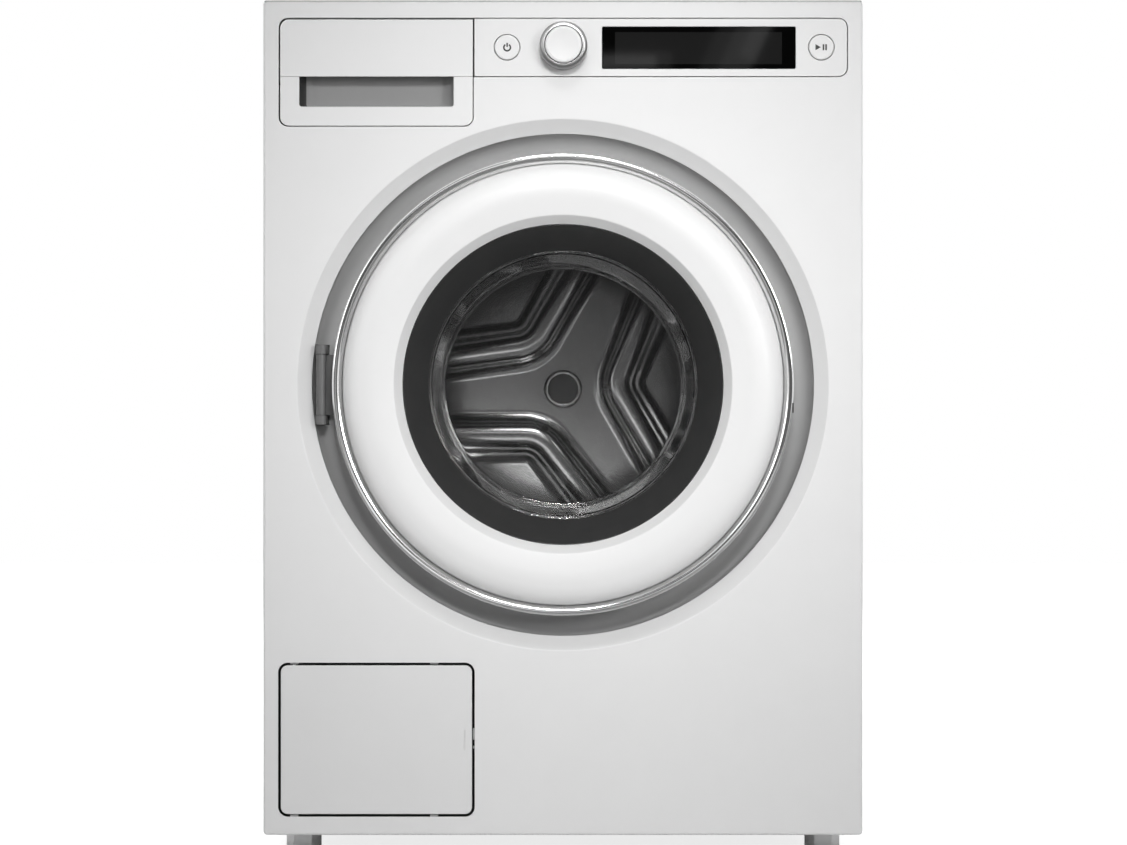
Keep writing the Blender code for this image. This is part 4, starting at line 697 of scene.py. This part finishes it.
def drawer():
    """Drawer front with its deep grip pocket, the plate above it, and the tray with three wells."""
    left, right = drawer_left + 1.8 * seam, drawer_right - seam
    low, high = drawer_bottom + seam, strip_top - 1.9 * seam
    r = strip_radius - seam
    face = slab(left, right, low, high, 0, 0.0245, [r, r, 0, r], 0.0005)
    inward = [(-over, -0.0005, -0.0005), (0, -0.0004, -0.0004), (0.0005, 0, 0)]
    for a in range(0, 91, 9):
        bend = 1 - cos(radians(a))
        inward.append((0.01 + 0.012 * sin(radians(a)), 0.013 * bend, 0.004 * bend))
    top = strip_bottom + 0.026
    pocket = [
        (depth, rounded(pocket_left + ends, pocket_right - ends, pocket_bottom + below, top, 0.0025, 0, 6))
        for depth, ends, below in inward
    ]
    cuts = [block(left - over, right + over, -over, 0.0038, strip_bottom + gap, high + over), layered(pocket)]
    obj = piece("drawer_face", face, "white_shell", "drawer", ["drawer_front"], cuts=cuts, flat=True)

    def in_pocket(face, end):
        c = face.center
        across = pocket_left - 0.0003 < c.x < end and c.z > pocket_bottom - 0.0003
        return across and front_y + 0.0006 < c.y < back(0.0235)

    # Inside the grip pocket the faces are painted darker as shade
    tint(obj, "pocket", lambda face: in_pocket(face, pocket_right + 0.0003))
    # The pocket's left end wall is painted near black, a painted shadow
    tint(obj, "recess", lambda face: in_pocket(face, pocket_left + 0.0062))
    piece(
        "drawer_plate", slab(left, right, strip_bottom + 2 * gap, high, 0, 0.0035, [0, 0, 0, r], 0.0005),
        "white_shell", "drawer", ["drawer_grip_plate"], flat=True,
    )

    tray_left, tray_right, wall = drawer_left + 0.0091, drawer_right - 0.0093, 0.002
    tray = block(tray_left, tray_right, 0.0248, 0.245, 0.7348, 0.8)
    left, right, front, rear = tray_left + wall, tray_right - wall, 0.0268, 0.243
    middle, split, deep, shallow = left + 0.085, front + 0.1, 0.7368, 0.7568
    wells = []
    for x0, x1, d0, d1, floor in (
        (left, middle, front, rear, deep),
        (middle + wall, right, front, split, shallow),
        (middle + wall, right, split + wall, rear, deep),
    ):
        layers = [
            (z, rounded(x0, x1, back(d0), back(d1), 0.008, inset, 5))
            for z, inset in (
                (floor, 0.006), (floor + 0.001, 0.0035), (floor + 0.003, 0.0012), (floor + 0.006, 0.0),
                (0.81, 0.0),
            )
        ]
        wells.append(stacked(layers))
    piece("tray", tray, "pale_moulded", "drawer", ["detergent_tray"], cuts=wells, flat=True)


# ---- Door and cove


def cove():
    """The dark concave surround with its windows for hinge and hook."""
    sweep, floor, foot = 24, 0.026, 0.231
    rise = floor - dish_depth - 0.0005
    spread = dish_inner - gap - foot
    curve = [
        (foot + spread * cos(k / sweep * pi / 2), floor - rise * (1 - sin(k / sweep * pi / 2)))
        for k in range(sweep + 1)
    ]
    outline = curve + [
        (0.176, floor), (0.176, 0.029), (0.2335, 0.029), (dish_inner, 0.0188), (0.2523, 0.0138),
        (0.26, 0.0138), (0.26, 0.0113), (curve[0][0], 0.0113),
    ]
    windows = [
        block(hinge_x - 0.0065, hinge_x + 0.0065, 0, 0.039, drum_height - 0.0402, drum_height + 0.0402),
        block(lock_x - 0.012, lock_x + 0.017, 0, 0.039, lock_height - 0.009, lock_height + 0.009),
    ]
    piece("cove", turned(outline, steps=256), "cove", "cabinet", ["door_surround"], cuts=windows)


def hinge_leaf(z0, z1, front, rear, half):
    """An upright bar with a round front, about the hinge's axis."""
    x0, x1, y0, y1 = hinge_x - half, hinge_x + half, back(front), back(rear)
    outline = soft([(x0, y1), (x0, y0, half), (x1, y0, half), (x1, y1)], steps=10)
    return stacked([(z, outline) for z in (z0, z1)])


def hinge():
    """The hinge bracket: a plate, two rounded lugs and the pin."""
    low, high = drum_height - 0.056, drum_height + 0.056
    plate = slab(hinge_x - 0.022, hinge_x + 0.025, low, high, 0.0293, 0.0318, 0.004)
    joins = [
        hinge_leaf(drum_height + low, drum_height + low + 0.009, -0.0045, 0.0305, 0.0055)
        for low in (-0.0395, 0.0305)
    ]
    joins.append(post(0.0022, drum_height - 0.036, drum_height + 0.036, hinge_x, hinge_depth, 32))
    piece("hinge_leaves", plate, "hinge_grey", "cabinet", ["hinge_bracket"], joins=joins)


def door_inside():
    """The ring on the door's inside, with its screws and the arm to the hinge's knuckle."""
    ring = [
        (0.2255, 0.0146, 0.0004), (0.2255, 0.0186, 0.0015), (0.2, 0.0186, 0.002), (0.1985, 0.0178, 0.0008),
        (0.196, 0.0178, 0.0008), (0.1945, 0.0186, 0.002), (0.156, 0.0186, 0.002), (0.154, 0.0205, 0.002),
        (0.1365, 0.0205, 0.0012), (0.1365, 0.0165, 0.0004), (0.1554, 0.0165), (0.156, 0.0146),
    ]
    low, high, half = drum_height - 0.03, drum_height + 0.03, 0.003
    arm = [
        block(hinge_x - half, -0.2175, 0.0146, 0.0176, low, high),
        block(hinge_x - half, hinge_x + half, hinge_depth, 0.0161, low, high),
        post(0.005, low, high, hinge_x, hinge_depth),
    ]
    bore = post(0.0025, low - over, high + over, hinge_x, hinge_depth)
    piece(
        "ring_inside", turned(soft(ring), steps=256), "hinge_grey", "door", ["door_back_ring"],
        joins=arm, cuts=[bore],
    )
    circle = 0.176
    for k in range(10):
        a = radians(18 + 36 * k)
        x, z = circle * cos(a), drum_height + circle * sin(a)
        screw(f"ring_screw_{k}", "door", x, z, 0.0038, 0.018, 0.0204, 0.0008, 0.0024)


def door():
    """The door's bright rim with its seam and slit, white ring, black cone and glass bowl."""
    trim = [
        (0.2285, 0.014), (0.2285, -0.013, 0.001), (0.228, -0.0157, 0.001), (0.2267, -0.0164, 0.001),
        (0.2232, -0.0164, 0.0012), (0.2192, -0.0148, 0.0012), (0.2184, -0.014, 0.0003), (0.2184, 0.014),
    ]
    low, high = drum_height - 0.0281, drum_height - 0.0181
    piece(
        "rim_bright", turned(soft(trim), steps=256), "chrome", "door", ["door_trim_ring"],
        cuts=[
            block(-0.00025, 0.00025, -0.03, -0.0105, drum_height - 0.24, drum_height - 0.21),
            block(0.2262, 0.23, -0.03, -0.009, low, high),
        ],
    )
    slit = block(0.2264, 0.228, -0.0112, -0.0088, low + 0.0002, high - 0.0002)
    piece("rim_slit", slit, "dark_moulded", "door")
    rim = 0.218
    ring = [
        (rim, 0.014), (rim, -0.0135, 0.004), (rim - 0.0015, -0.022, 0.005), (rim - 0.007, -0.029, 0.006),
        (rim - 0.015, -0.0325, 0.006), (rim - 0.028, -0.034, 0.01), (0.1664, -0.0303, 0.001),
        (0.1582, -0.02), (0.168, -0.0265), (0.19, -0.0305, 0.01), (rim - 0.003, -0.02, 0.006),
        (rim - 0.003, 0.014),
    ]
    piece("ring_white", turned(soft(ring), steps=256), "white_shell", "door", ["door_frame"])
    cone = [
        (0.1576, -0.0195, 0.0006), (0.1335, 0.0118, 0.0006), (0.152, 0.0118), (0.152, 0.0095),
        (0.1381, 0.0095, 0.001), (0.1598, -0.0167),
    ]
    piece("cone_black", turned(soft(cone), steps=256), "cone_gloss", "door", ["door_cone"])
    bowl = [
        (0, 0.106), (0.1236, 0.106, 0.004), (0.1302, 0.0165, 0.002), (0.1322, 0.0121, 0.0012),
        (0.15, 0.0121, 0.0008), (0.15, 0.0162, 0.0008), (0.1332, 0.0162, 0.002), (0.1268, 0.1095, 0.007),
        (0, 0.1095),
    ]
    piece("bowl", turned(soft(bowl, steps=10), steps=256), "glass", "door", ["door_glass"], angle=60)


# ---- Drum


def rib_height(x, z):
    """Height of the three pressed V ribs of the drum's back at points x, z from its axis."""
    total = np.zeros_like(x)
    apex, arm, turn, fillet = 0.06, 0.15, radians(64), 0.034
    half, foot, edge, crown = 0.0165, 0.0295, 0.003, 0.0043
    for k in range(3):
        a = radians(first_rib + 120 * k)
        u = x * cos(a) + z * sin(a) - apex
        v = np.abs(-x * sin(a) + z * cos(a))
        d, n = (cos(turn), sin(turn)), (sin(turn), -cos(turn))
        centre = fillet / sin(turn)
        off_line = np.abs(u * n[0] + v * n[1])
        round_off = np.abs(np.hypot(u - centre, v) - fillet)
        q = np.where((u - centre) * d[0] + v * d[1] > 0, off_line, round_off)
        past = u * d[0] + v * d[1] - arm
        q = np.where(past > 0, np.hypot(off_line, past), q)
        bulge = edge + crown * np.clip(1 - np.clip(q / half, 0, 1) ** 2.4, 0, 1) ** 0.75
        skirt = edge * np.clip((foot - q) / (foot - half), 0, 1) ** 1.7
        total = np.maximum(total, np.where(q < half, bulge, skirt))
    fade = np.clip((0.2235 - np.hypot(x, z)) / 0.018, 0, 1)
    return total * fade * fade * (3 - 2 * fade)


def thick(name, bm, thickness, offset):
    """A sheet with its thickness."""
    obj = plain(name, bm)
    modifier = obj.modifiers.new("thick", "SOLIDIFY")
    modifier.thickness, modifier.offset = thickness, offset
    return obj


def drum_back():
    """The drum's pressed rear wall, on a square grid drawn out into a disc."""
    size, bend = 260, 0.008
    axis = np.linspace(-1, 1, size + 1)
    a, b = np.meshgrid(axis, axis)
    x = drum_inner * a * np.sqrt(1 - b * b / 2)
    z = drum_inner * b * np.sqrt(1 - a * a / 2)
    lift = np.clip(np.hypot(x, z) - (drum_inner - bend), 0, bend)
    depth = drum_rear - rib_height(x, z) - (bend - np.sqrt(bend**2 - lift**2))
    bm = bmesh.new()
    grid = [
        [bm.verts.new((x[i, j], back(depth[i, j]), drum_height + z[i, j])) for j in range(size + 1)]
        for i in range(size + 1)
    ]
    for i in range(size):
        for j in range(size):
            bm.faces.new((grid[i][j], grid[i][j + 1], grid[i + 1][j + 1], grid[i + 1][j]))
    piece("drum_rear", thick("drum_rear", bm, 0.001, -1), "drum_steel", "drum", ["drum_shell"], angle=50)


def drum_wall(lifters):
    """The drum's round wall, with a hole in each cell that no lifter covers."""
    cells, rows, hole_radius = 96, 26, 0.0017
    d0, d1 = 0.087, drum_rear - 0.008
    bm = bmesh.new()

    def at(angle, d):
        return bm.verts.new((drum_inner * cos(angle), back(d), drum_height + drum_inner * sin(angle)))

    lines = {}
    for i in range(cells):
        for j in range(rows + 1):
            lines[i, j] = at(tau * i / cells, d0 + (d1 - d0) * j / rows)
    for i in range(cells):
        for j in range(rows):
            k = (i + 1) % cells
            c0, c1, c2, c3 = lines[i, j], lines[k, j], lines[k, j + 1], lines[i, j + 1]
            middle = tau * (i + 0.5) / cells
            near = min(abs((middle - lifter + pi) % tau - pi) for lifter in lifters)
            if near < radians(7.5) or j in (0, rows - 1):
                bm.faces.new((c0, c1, c2, c3))
                continue
            centre = d0 + (d1 - d0) * (j + 0.5) / rows
            # The corners start at the front left, and the hole's points run from +x round to the rear
            h = []
            for k in range(8):
                t = radians(22.5 + 45 * k)
                h.append(at(middle + hole_radius / drum_inner * cos(t), centre + hole_radius * sin(t)))
            for face in (
                (c1, c2, h[0], h[7]), (c2, h[1], h[0]), (c2, c3, h[2], h[1]), (c3, h[3], h[2]),
                (c3, c0, h[4], h[3]), (c0, h[5], h[4]), (c0, c1, h[6], h[5]), (c1, h[7], h[6]),
            ):
                bm.faces.new(face)
    bmesh.ops.recalc_face_normals(bm, faces=bm.faces)
    piece("drum_wall", thick("drum_wall", bm, 0.0009, 0), "drum_steel", "drum", angle=40)


def drum():
    """The drum: pressed back with ribs, perforated wall, front ring, hub cap and lifters."""
    lifters = [radians(first_rib + 60 + 120 * k) for k in range(3)]
    drum_back()
    drum_wall(lifters)
    nose = [
        (0.1652, 0.0775, 0.0008), (0.1652, 0.0748, 0.0012), (0.168, 0.073, 0.0012), (0.2235, 0.0775, 0.004),
        (0.2318, 0.085, 0.004), (0.2318, 0.088), (0.2306, 0.088), (0.2306, 0.0856, 0.004),
        (0.223, 0.079, 0.004), (0.1684, 0.0744, 0.001), (0.1664, 0.0752, 0.0008), (0.1664, 0.0775, 0.0004),
    ]
    piece("drum_nose", turned(soft(nose, steps=4)), "drum_steel", "drum")

    top, foot = drum_rear - 0.008, drum_rear + 0.0002
    cap = [
        (0, top + 0.0008), (0.016, top + 0.0006, 0.0006), (0.0176, top, 0.001),
        (0.02, top + 0.0003, 0.001), (0.0214, top + 0.0018, 0.0012), (0.0216, drum_rear - 0.002, 0.0004),
        (0.0216, foot), (0, foot),
    ]
    hub = piece("hub", turned(soft(cap), steps=96), "hub_chrome", "drum", ["hub_cap"])

    def on_face(face):
        c = face.center
        return hypot(c.x, c.z - drum_height) < 0.0163 and c.y < back(top + 0.002)

    tint(hub, "hub_face", on_face)

    seat = drum_inner * cos(pi / 40) - 0.0009
    low = sqrt(seat**2 - 0.0245**2) - gap
    start, length, rounding, steps = 0.1, 0.284, 0.026, 24
    for number, angle in enumerate(lifters, 1):
        u, n = Vector((cos(angle), sin(angle))), Vector((-sin(angle), cos(angle)))
        layers = []
        for k in range(steps + 1):
            t = k / steps
            ends = min(t, 1 - t) * length / rounding
            height = 0.004 + 0.047 * sqrt(1 - (1 - min(ends, 1)) ** 2)
            corners = [
                (low, -0.024), (seat - 0.0002, 0.0), (low, 0.024), (low - height * 0.3, 0.019, 0.01),
                (low - height * 0.94, 0.0078, 0.006), (low - height, 0.0, 0.006),
                (low - height * 0.94, -0.0078, 0.006), (low - height * 0.3, -0.019, 0.01),
            ]
            outline = [u * p + n * q for p, q in soft(corners)]
            layers.append((start + length * t, [(spot.x, drum_height + spot.y) for spot in outline]))
        name = f"lifter_{number}"
        piece(name, layered(layers), "grey_moulded", "drum", ["drum_" + name], angle=50)


# ---- Service flap


def flap():
    """The flap with a softened edge, its rim behind, and the thin engraved slot; the recess and tabs."""
    free = 0.0026
    x0, x1, z0, z1 = flap_left + free, flap_right - free, flap_bottom + free, flap_top - free

    def inset(i, d0, d1, front=0.0):
        return slab(x0 + i, x1 - i, z0 + i, z1 - i, d0, d1, strip_radius - free - i, front)

    plate = plain("flap", inset(0, 0, 0.0025, 0.0007))
    rim = plain("rim", inset(0.0012, 0.0022, 0.009))
    combine(rim, inset(0.0027, 0.001, 0.02))
    combine(plate, rim, "UNION")
    pins = [
        post(0.0015, a, b, pin_x, pin_depth, 24)
        for a, b in ((z1 - 0.0045, z1 + 0.0021), (z0 - 0.0021, z0 + 0.0045))
    ]
    wall, deep = 0.0015, 0.05
    low, high = flap_bottom - 0.0005, flap_top + 0.0005
    left, right = flap_left - 0.0004, flap_right + 0.0004
    box = slab(left - wall, right + wall, low - wall, high + wall, sheet + gap, deep + wall, 0.003)
    piece(
        "recess_box", box, "recess", "cabinet", ["service_recess"],
        cuts=[
            slab(left, right, low, high, -over, deep, 0.0025),
            rod(0.0298, deep - over, deep + over, -0.185, 0.105, 64),
        ],
    )
    reach = 0.0023
    tabs = [
        (x - 0.004, x + 0.004, z0, z1)
        for x in (pin_x, -0.128)
        for z0, z1 in ((high - reach, high), (low, low + reach))
    ]
    tabs += [(right - reach, right, z - h, z + h) for z, h in ((0.1215, 0.0055), (0.1083, 0.001))]
    for k, (a, b, z0, z1) in enumerate(tabs):
        tab = slab(a, b, z0, z1, 0.0032, 0.0105, 0.0005, 0.0003, steps=3)
        bored = [post(0.0018, z0 - over, z1 + over, pin_x, pin_depth, 24)] if a < pin_x else ()
        piece(f"recess_tab_{k}", tab, "tab", "cabinet", cuts=bored)
    piece(
        "flap", plate, "enamel_flap", "service_flap", ["service_flap"], joins=pins,
        flat=True, cuts=[slab(-0.0984, -0.097, 0.106, 0.126, -over, 0.0018, 0.0006, steps=3)],
    )


# ---- Soft parts


def seal():
    """The door seal with its folds, from the front ring to the cuff on the tub's neck."""
    profile = [
        (0.1757, 0.0257, 0.0006), (0.1757, 0.03, 0.001), (0.1712, 0.034, 0.002), (0.1712, 0.0372, 0.002),
        (0.1754, 0.041, 0.003), (0.1748, 0.047, 0.003), (0.169, 0.052, 0.002), (0.1682, 0.0596, 0.001),
        (0.1636, 0.06, 0.0004), (0.1634, 0.05, 0.0006), (0.157, 0.0497, 0.003), (0.148, 0.0455, 0.006),
        (0.1384, 0.0436, 0.001), (0.1388, 0.0412, 0.001), (0.148, 0.0418, 0.006), (0.156, 0.044, 0.004),
        (0.1625, 0.04, 0.003), (0.1622, 0.035, 0.002), (0.165, 0.0322, 0.002), (0.1668, 0.029, 0.002),
        (0.169, 0.0262, 0.001),
    ]
    obj = piece("seal_folds", turned(soft(profile)), "rubber_grey", None, ["door_seal"])
    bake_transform(obj)


def bellows(name, x, depth, low, high, radius):
    """A ribbed bellows between the fixed end and the tub."""
    z0, z1 = low + gap, high - gap
    folds = max(3, round((z1 - z0) / 0.0075))
    outer, inner = [], []
    for k in range(folds * 2 + 1):
        z = z0 + (z1 - z0) * k / (folds * 2)
        swell = radius - (0.0004 if k % 2 else 0.0034)
        if k in (0, folds * 2):
            swell = radius - 0.002
        outer.append((swell, z, 0.0016))
        inner.append((swell - 0.0022, z, 0.0016))
    profile = soft(outer, False, 4) + soft(inner[::-1], False, 4)
    return piece(name + "_folds", upright(profile, x, depth, 48), "rubber_dark", None, [name])


def spring(side, name):
    """A suspension spring of round wire with a hook at each end."""
    x, y = side * spring_x, back(0.345)
    low, high, hook = 0.6018, 0.8041, 0.022
    turns, coil, around = 13, 0.0095, 20
    steps, height = turns * around, high - low - 2 * hook

    def bow(z):
        return [(x + coil * 0.5 * sin(pi * k / 8), y, z + 0.016 * k / 8) for k in range(9)]

    route = [(x, y, low)] + bow(low + 0.004)
    for k in range(steps + 1):
        a, grow = tau * k / around, coil * min(k / 10, (steps - k) / 10, 1)
        route.append((x + grow * cos(a), y + grow * sin(a), low + hook + height * k / steps))
    route += bow(high - 0.02) + [(x, y, high)]
    wire = tube(route, 0.0016, 12)
    obj = piece("spring_" + name, wire, "steel_wire", None, ["suspension_spring_" + name], angle=60)
    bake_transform(obj)


def soft_parts():
    """The seal, bellows and springs that hang between the tub and the cabinet, and the fill hose, which stays
    with the cabinet.
    """
    seal()
    for name, x, depth, low, high, radius in (
        ("dispenser_hose", -0.15, 0.22, 0.69, 0.722, 0.016),
        ("sump_hose", -0.185, 0.19, 0.18, 0.235, 0.016),
    ):
        obj = bellows(name, x, depth, low, high, radius)
        ends = ((x, back(depth), high - 0.003), (x, back(depth), low + 0.003))
        start, end = ends if name == "dispenser_hose" else ends[::-1]
        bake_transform(obj)
    for side, name in ((-1, "left"), (1, "right")):
        spring(side, name)
    start = Vector((inlet[0], back(0.5066), inlet[1]))
    run = Vector((-0.185, back(0.2856), 0.8)) - start
    steps, sag = 60, 0.012
    route = []
    for k in range(steps + 1):
        t = k / steps
        ease = t * t * (3 - 2 * t)
        drop = sag * sin(pi * ease) ** 2
        route.append((start.x + run.x * ease, start.y + run.y * t, start.z + run.z * ease - drop))
    radii = [0.0078 if 2 < k < steps - 2 else 0.008 for k in range(steps + 1)]
    piece("fill_line", tube(route, radii, 24), "rubber_dark", "cabinet", ["fill_hose"], angle=60)


# ---- The solids that keep their shape


def carried_over():
    """Gives each solid that is still shown its finish."""
    finishes = {
        "board_green": "control_board",
        "cast_metal": "drum_pulley drum_spider motor",
        "concrete": "counterweight",
        "dark_moulded": "cable_gland door_lock drain_pump filter_plug",
        "rubber_dark": "drive_belt",
        "steel_wire": "damper_rod_left damper_rod_right door_hook drum_bearing heating_element motor_pulley",
        "zinc": "damper_cylinder_left damper_cylinder_right",
    }
    finish = {name: look for look, names in finishes.items() for name in names.split()}
    for name, obj in nodes_left.items():
        material = looks[finish.get(name, "grey_moulded")]
        if not obj.data.materials:
            obj.data.materials.append(material)
        for slot in obj.material_slots:
            slot.material = material


# ---- Studio


def shining(name, tone, rough, strength):
    """A matt finish that also shines by itself."""
    material = bpy.data.materials.new(name)
    material.use_nodes = True
    shader = material.node_tree.nodes["Principled BSDF"]
    shader.inputs["Base Color"].default_value = (tone, tone, tone, 1)
    shader.inputs["Roughness"].default_value = rough
    shader.inputs["Emission Color"].default_value = (1, 1, 1, 1)
    shader.inputs["Emission Strength"].default_value = strength
    return material


def studio():
    """The white surroundings, the floor, a dark wall for the reflections, the lamps and the camera."""
    scene = bpy.context.scene
    scene.view_settings.view_transform = "Standard"
    world = scene.world or bpy.data.worlds.new("studio")
    scene.world = world
    world.use_nodes = True
    nodes, links = world.node_tree.nodes, world.node_tree.links
    nodes.clear()
    path = node(nodes, "LightPath")
    seen = path.outputs["Is Camera Ray"]
    for ray in ("Is Glossy Ray", "Is Transmission Ray"):
        larger = node(nodes, "Math")
        larger.operation = "MAXIMUM"
        links.new(seen, larger.inputs[0])
        links.new(path.outputs[ray], larger.inputs[1])
        seen = larger.outputs[0]
    mix, output = node(nodes, "MixShader"), node(nodes, "OutputWorld")
    links.new(seen, mix.inputs["Fac"])
    for place, strength in ((1, 0.12), (2, 1.0)):
        light = node(nodes, "Background", Color=(1, 1, 1, 1), Strength=strength)
        links.new(light.outputs[0], mix.inputs[place])
    links.new(mix.outputs[0], output.inputs["Surface"])

    floor = plain("floor", stacked([(z, rounded(-6, 6, -6, 6, 0)) for z in (-0.02, 0)]))
    material = shining("floor", 0.86, 0.7, 0)
    nodes, links = material.node_tree.nodes, material.node_tree.links
    path, scale = node(nodes, "LightPath"), node(nodes, "Math")
    scale.operation = "MULTIPLY"
    scale.inputs[1].default_value = 0.8
    links.new(path.outputs["Is Camera Ray"], scale.inputs[0])
    links.new(scale.outputs[0], nodes["Principled BSDF"].inputs["Emission Strength"])
    floor.data.materials.append(material)

    wall_front, wall_rear = -4.6 - front_y, -4.62 - front_y
    flag = plain("dark_wall", block(-1.6, 1.6, wall_rear, wall_front, 0.3, 3.2))
    flag.data.materials.append(shining("dark_wall", 0.02, 0.9, 0.09))
    flag.visible_camera = False
    flag.visible_shadow = False
    flag.visible_diffuse = False

    def lamp(name, place, target, width, height, power, lean=0, spread=180):
        data = bpy.data.lights.new(name, "AREA")
        data.shape, data.size, data.size_y, data.energy = "RECTANGLE", width, height, power
        data.spread = radians(spread)
        obj = bpy.data.objects.new(name, data)
        scene.collection.objects.link(obj)
        obj.location = place
        facing = (Vector(target) - Vector(place)).to_track_quat("-Z", "Y")
        obj.rotation_euler = (facing @ Quaternion((0, 0, 1), radians(lean))).to_euler()
        obj.visible_camera = False

    lamp("front_high", (0.1, -2.3, 1.45), (0.04, -0.28, 0.5), 0.5, 0.25, 1.08, spread=38)
    lamp("front_right", (1.15, -2.35, 0.95), (0.05, -0.28, 0.45), 0.6, 0.6, 0.96, spread=41)
    lamp("front_left", (-1.45, -2.35, 1.05), (0.0, -0.28, 0.53), 0.8, 0.9, 0.56, spread=54)
    lamp("above", (0.0, -1.35, 2.1), (0.0, -0.28, 0.42), 0.7, 0.35, 0.75, spread=60)
    lamp("glow", (0.0, -2.3, 0.885), (0.0, -0.28, 0.69), 0.7, 0.14, 0.3)
    lamp("low_left", (-0.09, -2.3, 0.27), (-0.04, 0.1, 0.34), 0.16, 0.12, 0.085)
    lamp("card", (-0.252, -2.32, 0.343), (-0.252, 0.1, 0.343), 0.41, 0.35, 0.125, -22.8)
    for wide, high, lift, power in (
        (0.03, 0.09, 0.04, 0.025), (0.055, 0.13, 0.02, 0.055), (0.085, 0.18, 0.0, 0.085)
    ):
        x, z = 0.3433 - 0.453 * wide + 0.42 * lift, 1.0789 + 0.2113 * wide + 0.906 * lift
        lamp("streak", (x, -2.68, z), (x - 0.14, -0.28, z - 0.3), wide, high, power, -25)
    for wide, high, power in ((0.2, 0.034, 0.05), (0.13, 0.02, 0.05)):
        lamp("sheen", (0.105 - wide / 8, -2.3, 1.03), (0.09, -0.28, 0.79), wide, high, power)
    lamp("rear", (0, 3.2, 1.8), (0, 0.2, 0.4), 2.2, 1.6, 30)
    lamp("rear_left", (-3.0, 0.9, 1.6), (-0.3, 0.05, 0.45), 1.6, 1.6, 16)
    lamp("rear_right", (3.0, 0.9, 1.6), (0.3, 0.05, 0.45), 1.6, 1.6, 16)
    lamp("rear_top", (0, 1.5, 3.2), (0, 0.1, 0.85), 1.6, 1.6, 22)

    camera = bpy.data.cameras.new("camera")
    camera.sensor_fit = "HORIZONTAL"
    camera.sensor_width, camera.lens = 36, 96.6
    camera.clip_start, camera.clip_end = 0.05, 60
    obj = bpy.data.objects.new("camera", camera)
    scene.collection.objects.link(obj)
    obj.location = (0.0005, front_y - 3.0, 0.431)
    obj.rotation_euler = (pi / 2, 0, 0)
    scene.camera = obj


front_sheet()
lid()
wrapper()
rear_panel()
feet()
fascia()
buttons()
knob()
drawer()
cove()
hinge()
door_inside()
door()
drum()
flap()
soft_parts()
carried_over()
studio()
